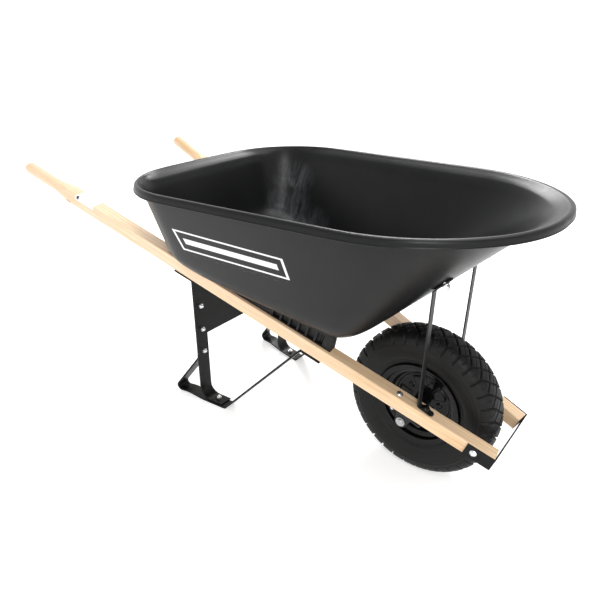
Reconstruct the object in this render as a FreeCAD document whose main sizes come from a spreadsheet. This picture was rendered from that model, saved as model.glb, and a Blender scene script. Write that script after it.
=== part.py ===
import FreeCAD, Part
import math
import os
import Sketcher

from FreeCAD import Placement, Rotation, Vector

# Wheelbarrow: moulded tray on two wooden handles, strap-steel undercarriage, one pneumatic wheel.
# Millimetres. X points forward to the wheel, Y to the left, Z up. The ground is Z = 0.

doc = FreeCAD.newDocument("wheelbarrow")
os.makedirs("parts", exist_ok=True)

X_AXIS = Vector(1, 0, 0)
Y_AXIS = Vector(0, 1, 0)
Z_AXIS = Vector(0, 0, 1)
SIDES = (("right", -1), ("left", 1))

DIMENSIONS = {
    # wheel and axle
    "axle_x": 498.9,
    "wheel_radius": 203.0,
    "tyre_half_width": 50.0,
    "axle_radius": 8.0,
    "running_gap": 0.05,
    "hub_half_length": 38.0,
    "hub_radius": 20.0,
    "bearing_radius": 17.5,
    "bearing_depth": 12.0,
    "bearing_flange": 2.0,
    "bearing_flange_radius": 19.5,
    "hub_disc_radius": 58.0,
    "hub_disc_half": 2.0,
    "spacer_radius": 11.0,
    "spacer_bore": 8.4,
    "rim_sheet": 2.5,
    "rim_disc_radius": 78.0,
    "rim_well_radius": 87.0,
    "rim_seat_radius": 101.0,
    "rim_flange_radius": 113.0,
    "rim_flange_offset": 41.0,
    "rim_bolt_circle": 46.0,
    "rim_bolt_count": 5.0,
    "tube_centre_radius": 150.0,
    "tube_outer": 34.0,
    "tube_wall": 2.0,
    "valve_radius": 4.0,
    "valve_offset": 15.0,
    "valve_angle": 71.0,
    "valve_inner_end": 60.0,
    "valve_outer_end": 116.0,
    "cap_radius": 5.4,
    "cap_length": 13.0,
    # handles: straight rails that slope down and converge towards the wheel
    "nose_ahead": 232.9,
    "nose_height": 209.2,
    "nose_half_width": 105.3,
    "rail_slope": 15.4,
    "rail_toe": 7.41,
    "handle_length": 1524.0,
    "handle_wide": 37.5,
    "handle_deep": 36.2,
    "handle_edge": 3.0,
    "grip_length": 189.0,
    "grip_neck": 60.0,
    "grip_radius": 16.5,
    # distances along a handle, measured back from its nose
    "nose_bolt_at": 46.5,
    "nose_strap_reach": 67.5,
    "axle_at": 222.3,
    "bracket_half_spacing": 34.5,
    "riser_front_at": 453.0,
    "front_tray_bolt_at": 486.0,
    "rear_tray_bolt_at": 908.0,
    # riser wedge under the front of the tray
    "riser_heel_at": 827.6,
    "riser_angle": 7.25,
    "riser_wide": 28.0,
    "riser_inset": 4.7,
    "rib_pitch": 26.0,
    # strap steel
    "strap_wide": 40.0,
    "strap_thick": 4.0,
    "foot_thick": 5.0,
    "nose_strap_thick": 3.0,
    "brace_wide": 17.0,
    "brace_thick": 3.5,
    "brace_gap": 2.0,
    "plate_thick": 3.0,
    "plate_low": 219.0,
    "plate_high": 384.0,
    "plate_half": 206.0,
    "plate_bolt_high": 321.0,
    "plate_bolt_low": 245.0,
    "tab_bolt_height": 170.0,
    "leg_behind_axle": 617.0,
    "leg_outer_y": 196.4,
    "leg_lean": 0.056,
    "leg_flange_end": 936.0,
    "leg_foot_length": 72.0,
    "leg_bend": 34.0,
    "foot_bolt_ahead": 47.0,
    "foot_rear": 716.0,
    "foot_front": 531.0,
    "foot_rear_y": 215.0,
    "foot_front_y": 188.0,
    "foot_arch": 7.0,
    "foot_arch_rear": 664.0,
    "foot_arch_front": 608.0,
    "foot_flange_rear": 522.0,
    "foot_flange_front": 463.0,
    "stay_top_behind": 270.0,
    "stay_top_y": 173.4,
    "brace_y": 113.4,
    "brace_foot_front": 165.0,
    "brace_foot_rear": 205.0,
    "brace_top_ahead": 20.0,
    "brace_flange": 50.0,
    "brace_bolt_up": 32.0,
    # axle bracket casting
    "bracket_half_length": 47.0,
    "bracket_half_width": 17.0,
    "bracket_flange": 5.0,
    "bracket_web": 18.0,
    "bracket_boss": 16.0,
    # tray
    "tray_wall": 4.0,
    "rim_rear_x": -285.4,
    "rim_front_x": 688.0,
    "rim_rear_half": 356.4,
    "rim_front_half": 317.0,
    "rim_rear_corner": 209.6,
    "rim_front_corner": 299.8,
    "rim_side_bow": 2.1,
    "rim_front_bow": 31.6,
    "rim_rear_bow": 15.5,
    "rim_rear_height": 661.7,
    "rim_front_height": 753.4,
    "lip_out": 6.5,
    "lip_drop": 15.5,
    "lip_sheet": 3.5,
    "wall_inset": 36.3,
    "wall_rear_corner": 154.5,
    "wall_drop": 20.0,
    "floor_rear_x": -217.8,
    "floor_front_x": 342.5,
    "floor_rear_half": 256.7,
    "floor_front_half": 171.4,
    "floor_rear_corner": 85.1,
    "floor_front_corner": 48.0,
    "floor_middle_x": 79.0,
    "floor_meets_rail_x": -66.4,
    "tray_slope": 8.09,
    "floor_turn_up": 0.18,
    "floor_turn_in": 0.125,
    # fasteners
    "bolt_radius": 4.0,
    "bolt_clearance": 0.4,
    "dome_radius": 8.6,
    "dome_height": 4.2,
    "nut_across": 13.0,
    "nut_height": 6.5,
    "washer_radius": 9.0,
    "washer_thick": 1.6,
    "thread_proud": 5.0,
    "cap_dome_radius": 11.0,
    "cap_dome_height": 7.5,
    "sunk_radius": 7.3,
    "sunk_depth": 3.2,
}

sheet = doc.addObject("Spreadsheet::Sheet", "Dims")
for row, (alias, value) in enumerate(DIMENSIONS.items(), start=1):
    sheet.set("A%d" % row, alias)
    sheet.set("B%d" % row, str(value))
    sheet.setAlias("B%d" % row, alias)
doc.recompute()


def dim(alias):
    return float(sheet.get(alias))


def value_of(expression):
    result = sheet.evalExpression(expression)
    return float(getattr(result, "Value", result))


# ---------------------------------------------------------------- frames of reference

wheel_centre = Placement(Vector(dim("axle_x"), 0, dim("wheel_radius")), Rotation())
nose_x = dim("axle_x") + dim("nose_ahead")
rail_plane = Placement(Vector(nose_x, 0, dim("nose_height")), Rotation(Y_AXIS, dim("rail_slope")))


def rail(side, back=0.0, across=0.0, up=0.0):
    """Frame on a handle's centre line: X forward along it, Z up, `back` from its nose."""
    toe = Placement(Vector(0, side * dim("nose_half_width"), 0), Rotation(Z_AXIS, -side * dim("rail_toe")))
    inward = -side * (dim("handle_wide") / 2 + across)
    return rail_plane * toe * Placement(Vector(-back, inward, up - dim("handle_deep") / 2), Rotation())


half_deep = dim("handle_deep") / 2
axle_side_y = abs(rail(-1, back=dim("axle_at")).Base.y)


# ---------------------------------------------------------------- PartDesign helpers

def origin_feature(body, role):
    return next(item for item in body.Origin.OriginFeatures if item.Role == role)


sub_parts = []


def register(part, label):
    """Count a document object as a sub-part of the wheelbarrow."""
    part.Label = label
    sub_parts.append(part)
    return part


def new_body(label, placement=None):
    body = register(doc.addObject("PartDesign::Body", label), label)
    if placement is not None:
        body.Placement = placement
    return body


def new_sketch(body, role, offset=None):
    sketch = body.newObject("Sketcher::SketchObject", body.Label + "_sketch")
    sketch.AttachmentSupport = (origin_feature(body, role), [""])
    sketch.MapMode = "FlatFace"
    if offset is not None:
        sketch.setExpression("AttachmentOffset.Base.z", offset)
    return sketch


def bind(sketch, kind, *references, expression):
    """Dimension whose value follows the spreadsheet."""
    number = sketch.addConstraint(Sketcher.Constraint(kind, *references, value_of(expression)))
    sketch.setExpression("Constraints[%d]" % number, expression)


def add_polygon(sketch, corners):
    """Closed polygon; every corner is a pair of expressions."""
    points = [Vector(value_of(x), value_of(y), 0) for x, y in corners]
    first = sketch.GeometryCount
    count = len(points)
    for i in range(count):
        sketch.addGeometry(Part.LineSegment(points[i], points[(i + 1) % count]), False)
    for i in range(count):
        following = first + (i + 1) % count
        sketch.addConstraint(Sketcher.Constraint("Coincident", first + i, 2, following, 1))
    for i, (x, y) in enumerate(corners):
        bind(sketch, "DistanceX", -1, 1, first + i, 1, expression=x)
        bind(sketch, "DistanceY", -1, 1, first + i, 1, expression=y)


def add_circle(sketch, x, y, radius):
    centre = Vector(value_of(x), value_of(y), 0)
    index = sketch.addGeometry(Part.Circle(centre, Z_AXIS, value_of(radius)), False)
    bind(sketch, "Radius", index, expression=radius)
    bind(sketch, "DistanceX", -1, 1, index, 3, expression=x)
    bind(sketch, "DistanceY", -1, 1, index, 3, expression=y)


def add_pad(body, sketch, length, midplane=False, reverse=False):
    pad = body.newObject("PartDesign::Pad", body.Label + "_pad")
    pad.Profile = sketch
    pad.setExpression("Length", length)
    pad.Midplane = midplane
    pad.Reversed = reverse
    doc.recompute()
    return pad


def add_pocket(body, sketch):
    """Cut right through the body, both ways from the sketch."""
    before = body.Shape.Volume
    pocket = body.newObject("PartDesign::Pocket", body.Label + "_pocket")
    pocket.Profile = sketch
    pocket.Type = 1
    pocket.Midplane = True
    doc.recompute()
    if body.Shape.Volume > before - 1.0:
        raise RuntimeError("a pocket of %s cuts nothing" % body.Label)
    return pocket


def add_blind_pocket(body, sketch, length, reverse=False):
    before = body.Shape.Volume
    pocket = body.newObject("PartDesign::Pocket", body.Label + "_pocket")
    pocket.Profile = sketch
    pocket.setExpression("Length", length)
    pocket.Reversed = reverse
    doc.recompute()
    if body.Shape.Volume > before - 1.0:
        raise RuntimeError("a pocket of %s cuts nothing" % body.Label)
    return pocket


def add_revolution(body, sketch, role="Y_Axis"):
    turned = body.newObject("PartDesign::Revolution", body.Label + "_turned")
    turned.Profile = sketch
    turned.ReferenceAxis = (origin_feature(body, role), [""])
    turned.Angle = 360
    doc.recompute()
    return turned


def add_groove(body, sketch, role):
    before = body.Shape.Volume
    groove = body.newObject("PartDesign::Groove", body.Label + "_groove")
    groove.Profile = sketch
    groove.ReferenceAxis = (origin_feature(body, role), [""])
    groove.Angle = 360
    doc.recompute()
    if body.Shape.Volume > before - 1.0:
        raise RuntimeError("a groove of %s cuts nothing" % body.Label)
    return groove


def add_fillet(body, radius, choose):
    base = body.Tip
    names = ["Edge%d" % (i + 1) for i, edge in enumerate(base.Shape.Edges) if choose(edge)]
    fillet = body.newObject("PartDesign::Fillet", body.Label + "_fillet")
    fillet.Base = (base, names)
    fillet.setExpression("Radius", radius)
    doc.recompute()
    return fillet


def placed(shape, placement):
    """Copy of a shape moved by a placement."""
    result = shape.copy()
    result.Placement = placement * result.Placement
    return result


def is_straight_along(edge, axis, shortest=0.0):
    if edge.Curve.TypeId != "Part::GeomLine" or edge.Length < shortest:
        return False
    return abs(abs(edge.Curve.Direction.dot(axis)) - 1) < 1e-6


def feature_of(label, shape, placement=None):
    """Sub-part whose shape is built by code."""
    part = register(doc.addObject("Part::Feature", label), label)
    part.Shape = shape
    if placement is not None:
        part.Placement = placement
    return part


# ---------------------------------------------------------------- handles

def make_handle(name, side):
    body = new_body("handle_" + name, rail(side))
    section = new_sketch(body, "YZ_Plane")
    half_w = "Dims.handle_wide/2"
    half_d = "Dims.handle_deep/2"
    add_polygon(section, [("-" + half_w, "-" + half_d), (half_w, "-" + half_d),
                          (half_w, half_d), ("-" + half_w, half_d)])
    add_pad(body, section, "Dims.handle_length", reverse=True)
    add_fillet(body, "Dims.handle_edge", lambda edge: is_straight_along(edge, X_AXIS, 100))

    # the grip is turned: a flared neck runs out of the square section, then a straight round with a rounded end
    grip = new_sketch(body, "XZ_Plane")
    start = "-(Dims.handle_length-Dims.grip_length)"
    neck = "-(Dims.handle_length-Dims.grip_length+Dims.grip_neck)"
    end = "-Dims.handle_length"
    add_polygon(grip, [
        (start, "Dims.handle_wide*0.72"),
        (start + "-Dims.grip_neck*0.4", "Dims.handle_wide*0.58"),
        (neck, "Dims.grip_radius"),
        (end + "+9", "Dims.grip_radius"),
        (end + "+2", "Dims.grip_radius-4"),
        (end, "Dims.grip_radius-9"),
        (end + "-5", "Dims.grip_radius-9"),
        (end + "-5", "Dims.handle_wide"),
        (start, "Dims.handle_wide"),
    ])
    add_groove(body, grip, "X_Axis")

    vertical = new_sketch(body, "XY_Plane")
    bore = "Dims.bolt_radius+Dims.bolt_clearance"
    for station in ("Dims.axle_at-Dims.bracket_half_spacing", "Dims.axle_at+Dims.bracket_half_spacing",
                    "Dims.front_tray_bolt_at", "Dims.rear_tray_bolt_at"):
        add_circle(vertical, "-(%s)" % station, "0", bore)
    add_pocket(body, vertical)
    cross = new_sketch(body, "XZ_Plane")
    add_circle(cross, "-Dims.nose_bolt_at", "0", bore)
    add_pocket(body, cross)


# ---------------------------------------------------------------- riser wedges

def make_riser(name, side):
    body = new_body("riser_" + name, rail(side, across=dim("riser_inset"), up=half_deep))
    outline = new_sketch(body, "XZ_Plane")
    run = "(Dims.riser_heel_at-Dims.riser_front_at)"
    add_polygon(outline, [
        ("-Dims.riser_heel_at+20", "0"),
        ("-Dims.riser_front_at", "0"),
        ("-Dims.riser_front_at-%s*sin(Dims.riser_angle)^2" % run,
         "%s*sin(Dims.riser_angle)*cos(Dims.riser_angle)" % run),
        ("-Dims.riser_heel_at+20", "20*tan(Dims.riser_angle)"),
    ])
    add_pad(body, outline, "Dims.riser_wide", midplane=True)

    # recesses between the moulding ribs, on both faces
    for face in (1, -1):
        recess = new_sketch(body, "XZ_Plane", "%d*Dims.riser_wide/2" % -face)
        for k in range(1, 7):
            front = "-Dims.riser_front_at-%d*Dims.rib_pitch" % k
            rear = "%s-Dims.rib_pitch+6" % front
            roof = "(Dims.riser_heel_at+(%s))*tan(Dims.riser_angle)-5" % rear
            add_polygon(recess, [(rear, "4"), (front, "4"), (front, roof), (rear, roof)])
        add_blind_pocket(body, recess, "7", reverse=(face == 1))
    bore = new_sketch(body, "XY_Plane")
    add_circle(bore, "-Dims.front_tray_bolt_at", "%d*Dims.riser_inset" % side,
               "Dims.bolt_radius+Dims.bolt_clearance")
    add_pocket(body, bore)


# ---------------------------------------------------------------- tray

def rim_height(x):
    """The rim lies in one plane that rises towards the front."""
    run = (x - dim("rim_rear_x")) / (dim("rim_front_x") - dim("rim_rear_x"))
    return dim("rim_rear_height") + run * (dim("rim_front_height") - dim("rim_rear_height"))


def rail_top_height(x):
    return dim("nose_height") + (nose_x - x) * math.tan(math.radians(dim("rail_slope")))


def floor_height(x):
    """Underside of the tray's floor ahead of the place where it meets the handles."""
    meeting = dim("floor_meets_rail_x")
    return rail_top_height(meeting) + (meeting - x) * math.tan(math.radians(dim("tray_slope")))


def rounded_plan(rear_x, front_x, rear_half, front_half, rear_corner, front_corner):
    """Points round a plan with four rounded corners, counter-clockwise from the rear right."""
    corners = [Vector(rear_x, -rear_half, 0), Vector(front_x, -front_half, 0),
               Vector(front_x, front_half, 0), Vector(rear_x, rear_half, 0)]
    radii = [rear_corner, front_corner, front_corner, rear_corner]
    points = []
    for i, corner in enumerate(corners):
        back = (corners[i - 1] - corner).normalize()
        ahead = (corners[(i + 1) % 4] - corner).normalize()
        half_angle = back.getAngle(ahead) / 2
        centre = corner + (back + ahead).normalize() * (radii[i] / math.sin(half_angle))
        first = corner + back * (radii[i] / math.tan(half_angle)) - centre
        sweep = 180 - math.degrees(2 * half_angle)
        points += [centre + Rotation(Z_AXIS, sweep * k / 6).multVec(first) for k in range(7)]
    return points


def with_middles(points):
    """Add two points on each straight between the corner arcs."""
    full = []
    for i in range(4):
        arc = points[7 * i:7 * i + 7]
        following = points[(7 * i + 7) % 28]
        full += arc
        full += [arc[-1] + (following - arc[-1]) * (k / 3) for k in (1, 2)]
    return full


def bowed(points):
    """Swell the rim's straight runs outward."""
    middle = (dim("rim_rear_x") + dim("rim_front_x")) / 2
    half_run = (dim("rim_front_x") - dim("rim_rear_x")) / 2
    result = []
    for point in points:
        along = (point.x - middle) / half_run
        share = min(1.0, abs(point.y) / dim("rim_rear_half"))
        sideways = math.copysign(share ** 2 * dim("rim_side_bow") * (1 - along ** 2), point.y)
        bow = dim("rim_front_bow") if along > 0 else -dim("rim_rear_bow")
        result.append(point + Vector(along ** 2 * bow * (1 - share ** 2), sideways, 0))
    return result


def outset(points, distance):
    """Move every point of a closed plan outward along its normal."""
    moved = []
    for i, point in enumerate(points):
        run = points[(i + 1) % len(points)] - points[i - 1]
        moved.append(point + Vector(run.y, -run.x, 0).normalize() * distance)
    return moved


def upper_plan(rear_corner):
    """Plan of the tray at rim level with a given radius at the two rear corners."""
    return bowed(with_middles(rounded_plan(
        dim("rim_rear_x"), dim("rim_front_x"), dim("rim_rear_half"), dim("rim_front_half"),
        rear_corner, dim("rim_front_corner"))))


rim_plan = upper_plan(dim("rim_rear_corner"))
wall_plan = upper_plan(dim("wall_rear_corner"))
floor_plan = with_middles(rounded_plan(
    dim("floor_rear_x"), dim("floor_front_x"), dim("floor_rear_half"), dim("floor_front_half"),
    dim("floor_rear_corner"), dim("floor_front_corner")))


def rim_level(outward, up, plan=rim_plan):
    """Section parallel to the rim's plane, measured from the rim's crest."""
    return [Vector(p.x, p.y, rim_height(p.x) + up) for p in outset(plan, outward)]


def wall_levels(inward):
    """Sections from the floor's edge up to the top of the wall, `inward` of its outer face."""
    tops = rim_level(-dim("wall_inset") - inward, -dim("wall_drop"), wall_plan)
    slope = -math.tan(math.radians(dim("tray_slope")))
    feet = []
    for top, plan in zip(tops, outset(floor_plan, -inward)):
        resting = Vector(plan.x, plan.y, max(floor_height(plan.x), rail_top_height(plan.x)) + inward)
        fall = resting - top
        share = (floor_height(top.x) + inward - top.z) / (fall.z - slope * fall.x)
        feet.append(top + fall * share)
    turn_up = dim("floor_turn_up")
    starts = [top + (foot - top) * (1 - turn_up) for top, foot in zip(tops, feet)]
    middle = Vector(dim("floor_middle_x"), 0, 0)
    ends = []
    for foot in feet:
        spot = foot + (middle - foot) * dim("floor_turn_in")
        ends.append(Vector(spot.x, spot.y, floor_height(spot.x) + inward))
    levels = []
    for k in range(6):
        t = 1 - k / 5
        levels.append([a * (1 - t) ** 2 + b * 2 * t * (1 - t) + c * t ** 2
                       for a, b, c in zip(starts, feet, ends)])
    return levels + [tops]


def skin(levels):
    """Solid through closed sections."""
    wires = []
    for points in levels:
        curve = Part.BSplineCurve()
        curve.interpolate(Points=points, PeriodicFlag=True)
        wires.append(Part.Wire(curve.toShape()))
    return Part.makeLoft(wires, True, True)


def above_rails(lift):
    """Large block over the plane of the handles' top faces, raised by `lift`."""
    block = Part.makeBox(3000, 2000, 2000)
    block.translate(Vector(-2200, -1000, lift))
    block.Placement = rail_plane * block.Placement
    return block


def make_tray_outside():
    body = skin(wall_levels(0) + [rim_level(-8, -4.5), rim_level(-4, 0)])
    return body.common(above_rails(0))


def make_tray():
    out = dim("lip_out")
    wall = dim("tray_wall")
    lip = skin([rim_level(out, -dim("lip_drop")), rim_level(out, -3), rim_level(2, 0)])
    sheet_in = out - dim("lip_sheet") + 0.5
    channel = skin([rim_level(sheet_in, -dim("lip_drop") - 5), rim_level(sheet_in, -6), rim_level(0, -3.5)])
    hollow = skin(wall_levels(wall) + [rim_level(-13, -3), rim_level(-9, 10)])
    tray = tray_outside.fuse(lip.cut(channel)).cut(hollow.common(above_rails(wall)))
    for _, side in SIDES:
        tray = bored(tray, rail_line(side, dim("front_tray_bolt_at")))
        tray = bored(tray, rail_line(side, dim("rear_tray_bolt_at")))
        tray = bored(tray, brace_top_line(side))
        seat = Part.makeCylinder(dim("dome_radius") + 0.3, 20)
        tray = tray.cut(placed(seat, at_height(rail_line(side, dim("front_tray_bolt_at")), front_head_up)))
        tray = tray.cut(placed(seat, below(brace_top_line(side), wall)))
    feature_of("tray", tray)


# ---------------------------------------------------------------- bent straps

def left_normal(start, end):
    run = (end - start).normalize()
    return Vector(-run.z, 0, run.x)


def band_side(path, bends, offset):
    """Edges parallel to a centre line with rounded bends, `offset` to its left, in the XZ plane."""
    edges = []
    start = path[0] + left_normal(path[0], path[1]) * offset
    for i, bend in enumerate(bends, start=1):
        back = (path[i - 1] - path[i]).normalize()
        ahead = (path[i + 1] - path[i]).normalize()
        reach = bend / math.tan(back.getAngle(ahead) / 2)
        normal_in = left_normal(path[i - 1], path[i])
        normal_out = left_normal(path[i], path[i + 1])
        centre = path[i] + (back + ahead).normalize() * math.hypot(bend, reach)
        middle = centre + (path[i] - centre).normalize() * bend
        first = path[i] + back * reach + normal_in * offset
        last = path[i] + ahead * reach + normal_out * offset
        edges.append(Part.makeLine(start, first))
        edges.append(Part.Arc(first, middle + (normal_in + normal_out).normalize() * offset, last).toShape())
        start = last
    end = path[-1] + left_normal(path[-2], path[-1]) * offset
    edges.append(Part.makeLine(start, end))
    return edges


def bent_band(path, bends, thickness, reach):
    """Sheet bent along `path` in the XZ plane, from -reach to +reach in Y."""
    left = band_side(path, bends, thickness / 2)
    right = band_side(path, bends, -thickness / 2)
    caps = [
        Part.makeLine(left[0].Vertexes[0].Point, right[0].Vertexes[0].Point),
        Part.makeLine(left[-1].Vertexes[-1].Point, right[-1].Vertexes[-1].Point),
    ]
    outline = Part.Wire(Part.__sortEdges__(left + right + caps))
    band = Part.Face(outline).extrude(Vector(0, 2 * reach, 0))
    band.translate(Vector(0, -reach, 0))
    return band


def trim_in_plan(band, near_edge, width, side, lean=0.0):
    """Keep the part of a band whose plan follows `near_edge`, a list of (x, distance from the middle).

    With a lean the kept part moves outward by `lean` for every millimetre of height.
    """
    depth = 50
    shift = -lean * depth
    outer = [Vector(x, side * (y + shift), -depth) for x, y in near_edge]
    inner = [Vector(x, side * (y + shift - width), -depth) for x, y in reversed(near_edge)]
    corners = outer + inner
    plan = Part.Face(Part.makePolygon(corners + corners[:1]))
    kept = band.common(plan.extrude(Vector(0, side * lean, 1) * 1200))
    return kept.Solids[0] if len(kept.Solids) == 1 else kept


def bored(shape, placement, radius=None, length=60.0):
    """Cut a bolt hole along the placement's Z axis, both ways."""
    hole = Part.makeCylinder(radius or dim("bolt_radius") + dim("bolt_clearance"), 2 * length)
    hole.translate(Vector(0, 0, -length))
    hole.Placement = placement * hole.Placement
    return shape.cut(hole)


def handle_underside(back, thickness=0.0):
    """Point of the XZ plane on a handle's underside, `thickness` below it."""
    spot = rail(-1, back=back, up=-half_deep - thickness).Base
    return Vector(spot.x, 0, spot.z)


leg_x = dim("axle_x") - dim("leg_behind_axle")
leg_middle = dim("leg_outer_y") - dim("strap_wide") / 2
toe_slope = math.tan(math.radians(dim("rail_toe")))
plate_bolt_heights = [dim("plate_bolt_high"), dim("plate_bolt_low")]


def forward_line(side, height):
    """Bolt line through a leg, pointing forward."""
    middle = leg_middle + dim("leg_lean") * height
    return Placement(Vector(leg_x, side * middle, height), Rotation(Y_AXIS, 90))


def foot_line(side):
    """Vertical bolt line through a leg's foot and the foot strap."""
    ahead = dim("foot_bolt_ahead")
    return Placement(Vector(leg_x + ahead, side * (leg_middle - ahead * toe_slope), 0), Rotation())


def nose_line(side):
    """Bolt line across a handle's nose, pointing outward."""
    return rail(side, back=dim("nose_bolt_at")) * Placement(Vector(), Rotation(X_AXIS, -90 * side))


def rail_line(side, station):
    """Bolt line square to a handle, its origin on the top face."""
    return rail(side, back=station, up=half_deep)


def make_leg(name, side):
    thick = dim("strap_thick")
    foot_height = dim("foot_thick") + thick / 2
    top = handle_underside(dim("leg_flange_end"), thick / 2)
    corner_drop = (leg_x - top.x) * math.tan(math.radians(dim("rail_slope")))
    path = [
        top,
        Vector(leg_x, 0, top.z - corner_drop),
        Vector(leg_x, 0, foot_height),
        Vector(leg_x + dim("leg_foot_length"), 0, foot_height),
    ]
    band = bent_band(path, [6.0, dim("leg_bend")], thick, 300)
    near = [(leg_x + ahead, dim("leg_outer_y") - ahead * toe_slope) for ahead in (-90, 90)]
    leg = trim_in_plan(band, near, dim("strap_wide"), side, dim("leg_lean"))
    leg = bored(leg, rail_line(side, dim("rear_tray_bolt_at")))
    for height in plate_bolt_heights + [dim("tab_bolt_height")]:
        leg = bored(leg, forward_line(side, height))
    leg = bored(leg, foot_line(side))
    feature_of("leg_" + name, leg)


def make_foot_strap(name, side):
    thick = dim("foot_thick")
    tab_x = leg_x - dim("strap_thick") / 2 - thick / 2
    axle_x = dim("axle_x")
    path = [
        Vector(tab_x, 0, dim("tab_bolt_height") + 17),
        Vector(tab_x, 0, dim("tab_bolt_height") - 24),
        Vector(axle_x - dim("foot_rear"), 0, thick / 2),
        Vector(axle_x - dim("foot_arch_rear"), 0, thick / 2 + dim("foot_arch")),
        Vector(axle_x - dim("foot_arch_front"), 0, thick / 2),
        Vector(axle_x - dim("foot_front"), 0, thick / 2),
        handle_underside(dim("foot_flange_rear"), thick / 2),
        handle_underside(dim("foot_flange_front"), thick / 2),
    ]
    band = bent_band(path, [9.0, 13.0, 60.0, 60.0, 9.0, 9.0], thick, 300)
    beyond = 70
    near = [(axle_x - dim("foot_rear") - beyond, dim("foot_rear_y")), (axle_x - dim("foot_rear"), dim("foot_rear_y")),
            (axle_x - dim("foot_front"), dim("foot_front_y")), (axle_x - dim("stay_top_behind"), dim("stay_top_y")),
            (axle_x - dim("stay_top_behind") + beyond, dim("stay_top_y") - beyond * toe_slope)]
    strap = trim_in_plan(band, near, dim("strap_wide") - 2, side)
    strap = bored(strap, forward_line(side, dim("tab_bolt_height")))
    strap = bored(strap, foot_line(side))
    sink = Part.makeCone(dim("sunk_radius") + 0.6, dim("bolt_radius"), thick - 0.2)
    strap = strap.cut(placed(sink, foot_line(side)))
    strap = bored(strap, rail_line(side, dim("front_tray_bolt_at")))
    feature_of("foot_strap_" + name, strap)


def on_front_wall(x):
    """Point of the XZ plane on the outside of the tray's front wall, above the braces."""
    y = dim("brace_y")
    upright = Part.makeLine(Vector(x, y, dim("nose_height")), Vector(x, y, dim("rim_front_height") - 40))
    return Vector(x, 0, tray_outside.common(upright).BoundBox.ZMin)


def brace_top(up):
    """Point on the tray's front wall, `up` along it from the braces' bend, and the wall's angle."""
    bend = on_front_wall(dim("axle_x") + dim("brace_top_ahead"))
    run = on_front_wall(bend.x + dim("brace_flange")) - bend
    return bend + run.normalize() * up, math.atan2(run.z, run.x)


def brace_top_line(side):
    """Bolt line square to the tray's front wall, pointing outward from its outer face."""
    spot, angle = brace_top(dim("brace_bolt_up"))
    return Placement(spot + Vector(0, side * dim("brace_y"), 0), Rotation(Y_AXIS, 180 - math.degrees(angle)))


def make_brace(name, side):
    """Thin strap from the handle over the axle up to the tray's front wall."""
    thick = dim("brace_thick")
    low, angle = brace_top(0)
    high, angle = brace_top(dim("brace_flange"))
    outward = Vector(math.sin(angle), 0, -math.cos(angle)) * (thick / 2 + dim("brace_gap"))
    path = [
        rail_plane.multVec(Vector(-dim("brace_foot_front"), 0, thick / 2)),
        rail_plane.multVec(Vector(-dim("brace_foot_rear"), 0, thick / 2)),
        low + outward,
        high + outward,
    ]
    band = bent_band(path, [6.0, 7.0], thick, dim("brace_wide") / 2)
    corners = [edge for edge in band.Edges
               if edge.Length < thick + 0.1 and (edge.CenterOfMass - path[0]).Length < dim("brace_wide")]
    band = band.makeFillet(dim("brace_wide") / 2 - 0.5, corners)
    band.translate(Vector(0, side * dim("brace_y"), 0))
    band = bored(band, rail_line(side, dim("axle_at") - dim("bracket_half_spacing")))
    band = bored(band, brace_top_line(side))
    feature_of("tray_brace_" + name, band)


def make_cross_plate():
    body = new_body("leg_cross_plate", Placement(Vector(leg_x - dim("strap_thick") / 2, 0, 0), Rotation()))
    outline = new_sketch(body, "YZ_Plane")
    low = "Dims.plate_low"
    high = "Dims.plate_high"
    half = "Dims.plate_half"
    shoulder = "%s-30" % high
    add_polygon(outline, [("-" + half, low), (half, low), (half, shoulder), (half + "-30", high),
                          ("30-" + half, high), ("-" + half, shoulder)])
    add_pad(body, outline, "Dims.plate_thick", reverse=True)
    holes = new_sketch(body, "YZ_Plane")
    middle = "Dims.leg_outer_y-Dims.strap_wide/2"
    for _, side in SIDES:
        for height in ("Dims.plate_bolt_high", "Dims.plate_bolt_low"):
            add_circle(holes, "%d*(%s+Dims.leg_lean*%s)" % (side, middle, height), height,
                       "Dims.bolt_radius+Dims.bolt_clearance")
    add_pocket(body, holes)


def make_nose_strap():
    """One strap round the noses of both handles, lying in the handles' own plane."""
    body = new_body("nose_strap", rail_plane * Placement(Vector(0, 0, -half_deep), Rotation()))
    outline = new_sketch(body, "XY_Plane")
    half = "Dims.nose_half_width"
    toe = "Dims.rail_toe"
    thick = "Dims.nose_strap_thick"
    reach = "Dims.nose_strap_reach"
    rear_in = ("-%s*cos(%s)" % (reach, toe), "(%s+%s*sin(%s))" % (half, reach, toe))
    rear_out = ("%s+%s*sin(%s)" % (rear_in[0], thick, toe), "(%s+%s*cos(%s))" % (rear_in[1], thick, toe))
    front_out = (thick, "(%s+%s*cos(%s)-%s*(1-sin(%s))*tan(%s))" % (half, thick, toe, thick, toe, toe))
    left_side = [("0", half), rear_in, rear_out, front_out]
    right_side = [(x, "-" + y) for x, y in reversed(left_side)]
    add_polygon(outline, left_side + right_side)
    add_pad(body, outline, "Dims.handle_deep-1", midplane=True)
    add_fillet(body, "Dims.nose_strap_thick-0.5",
               lambda edge: is_straight_along(edge, Z_AXIS) and edge.Vertexes[0].X > dim("nose_strap_thick") - 0.1)
    holes = new_sketch(body, "XZ_Plane")
    through = Vector(0, 0, (dim("handle_wide") + dim("nose_strap_thick")) / 2)
    spot = body.Placement.inverse().multVec(nose_line(1).multVec(through))
    add_circle(holes, "%.3f" % spot.x, "%.3f" % spot.z, "Dims.bolt_radius+1")
    add_pocket(body, holes)


# ---------------------------------------------------------------- axle and its brackets

def bracket_frame(side):
    """Under a handle, square to the axle, origin on the underside above the axle."""
    along = rail_plane.inverse().multVec(wheel_centre.Base).x
    return rail_plane * Placement(Vector(along, side * axle_side_y, -dim("handle_deep")), Rotation())


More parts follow.
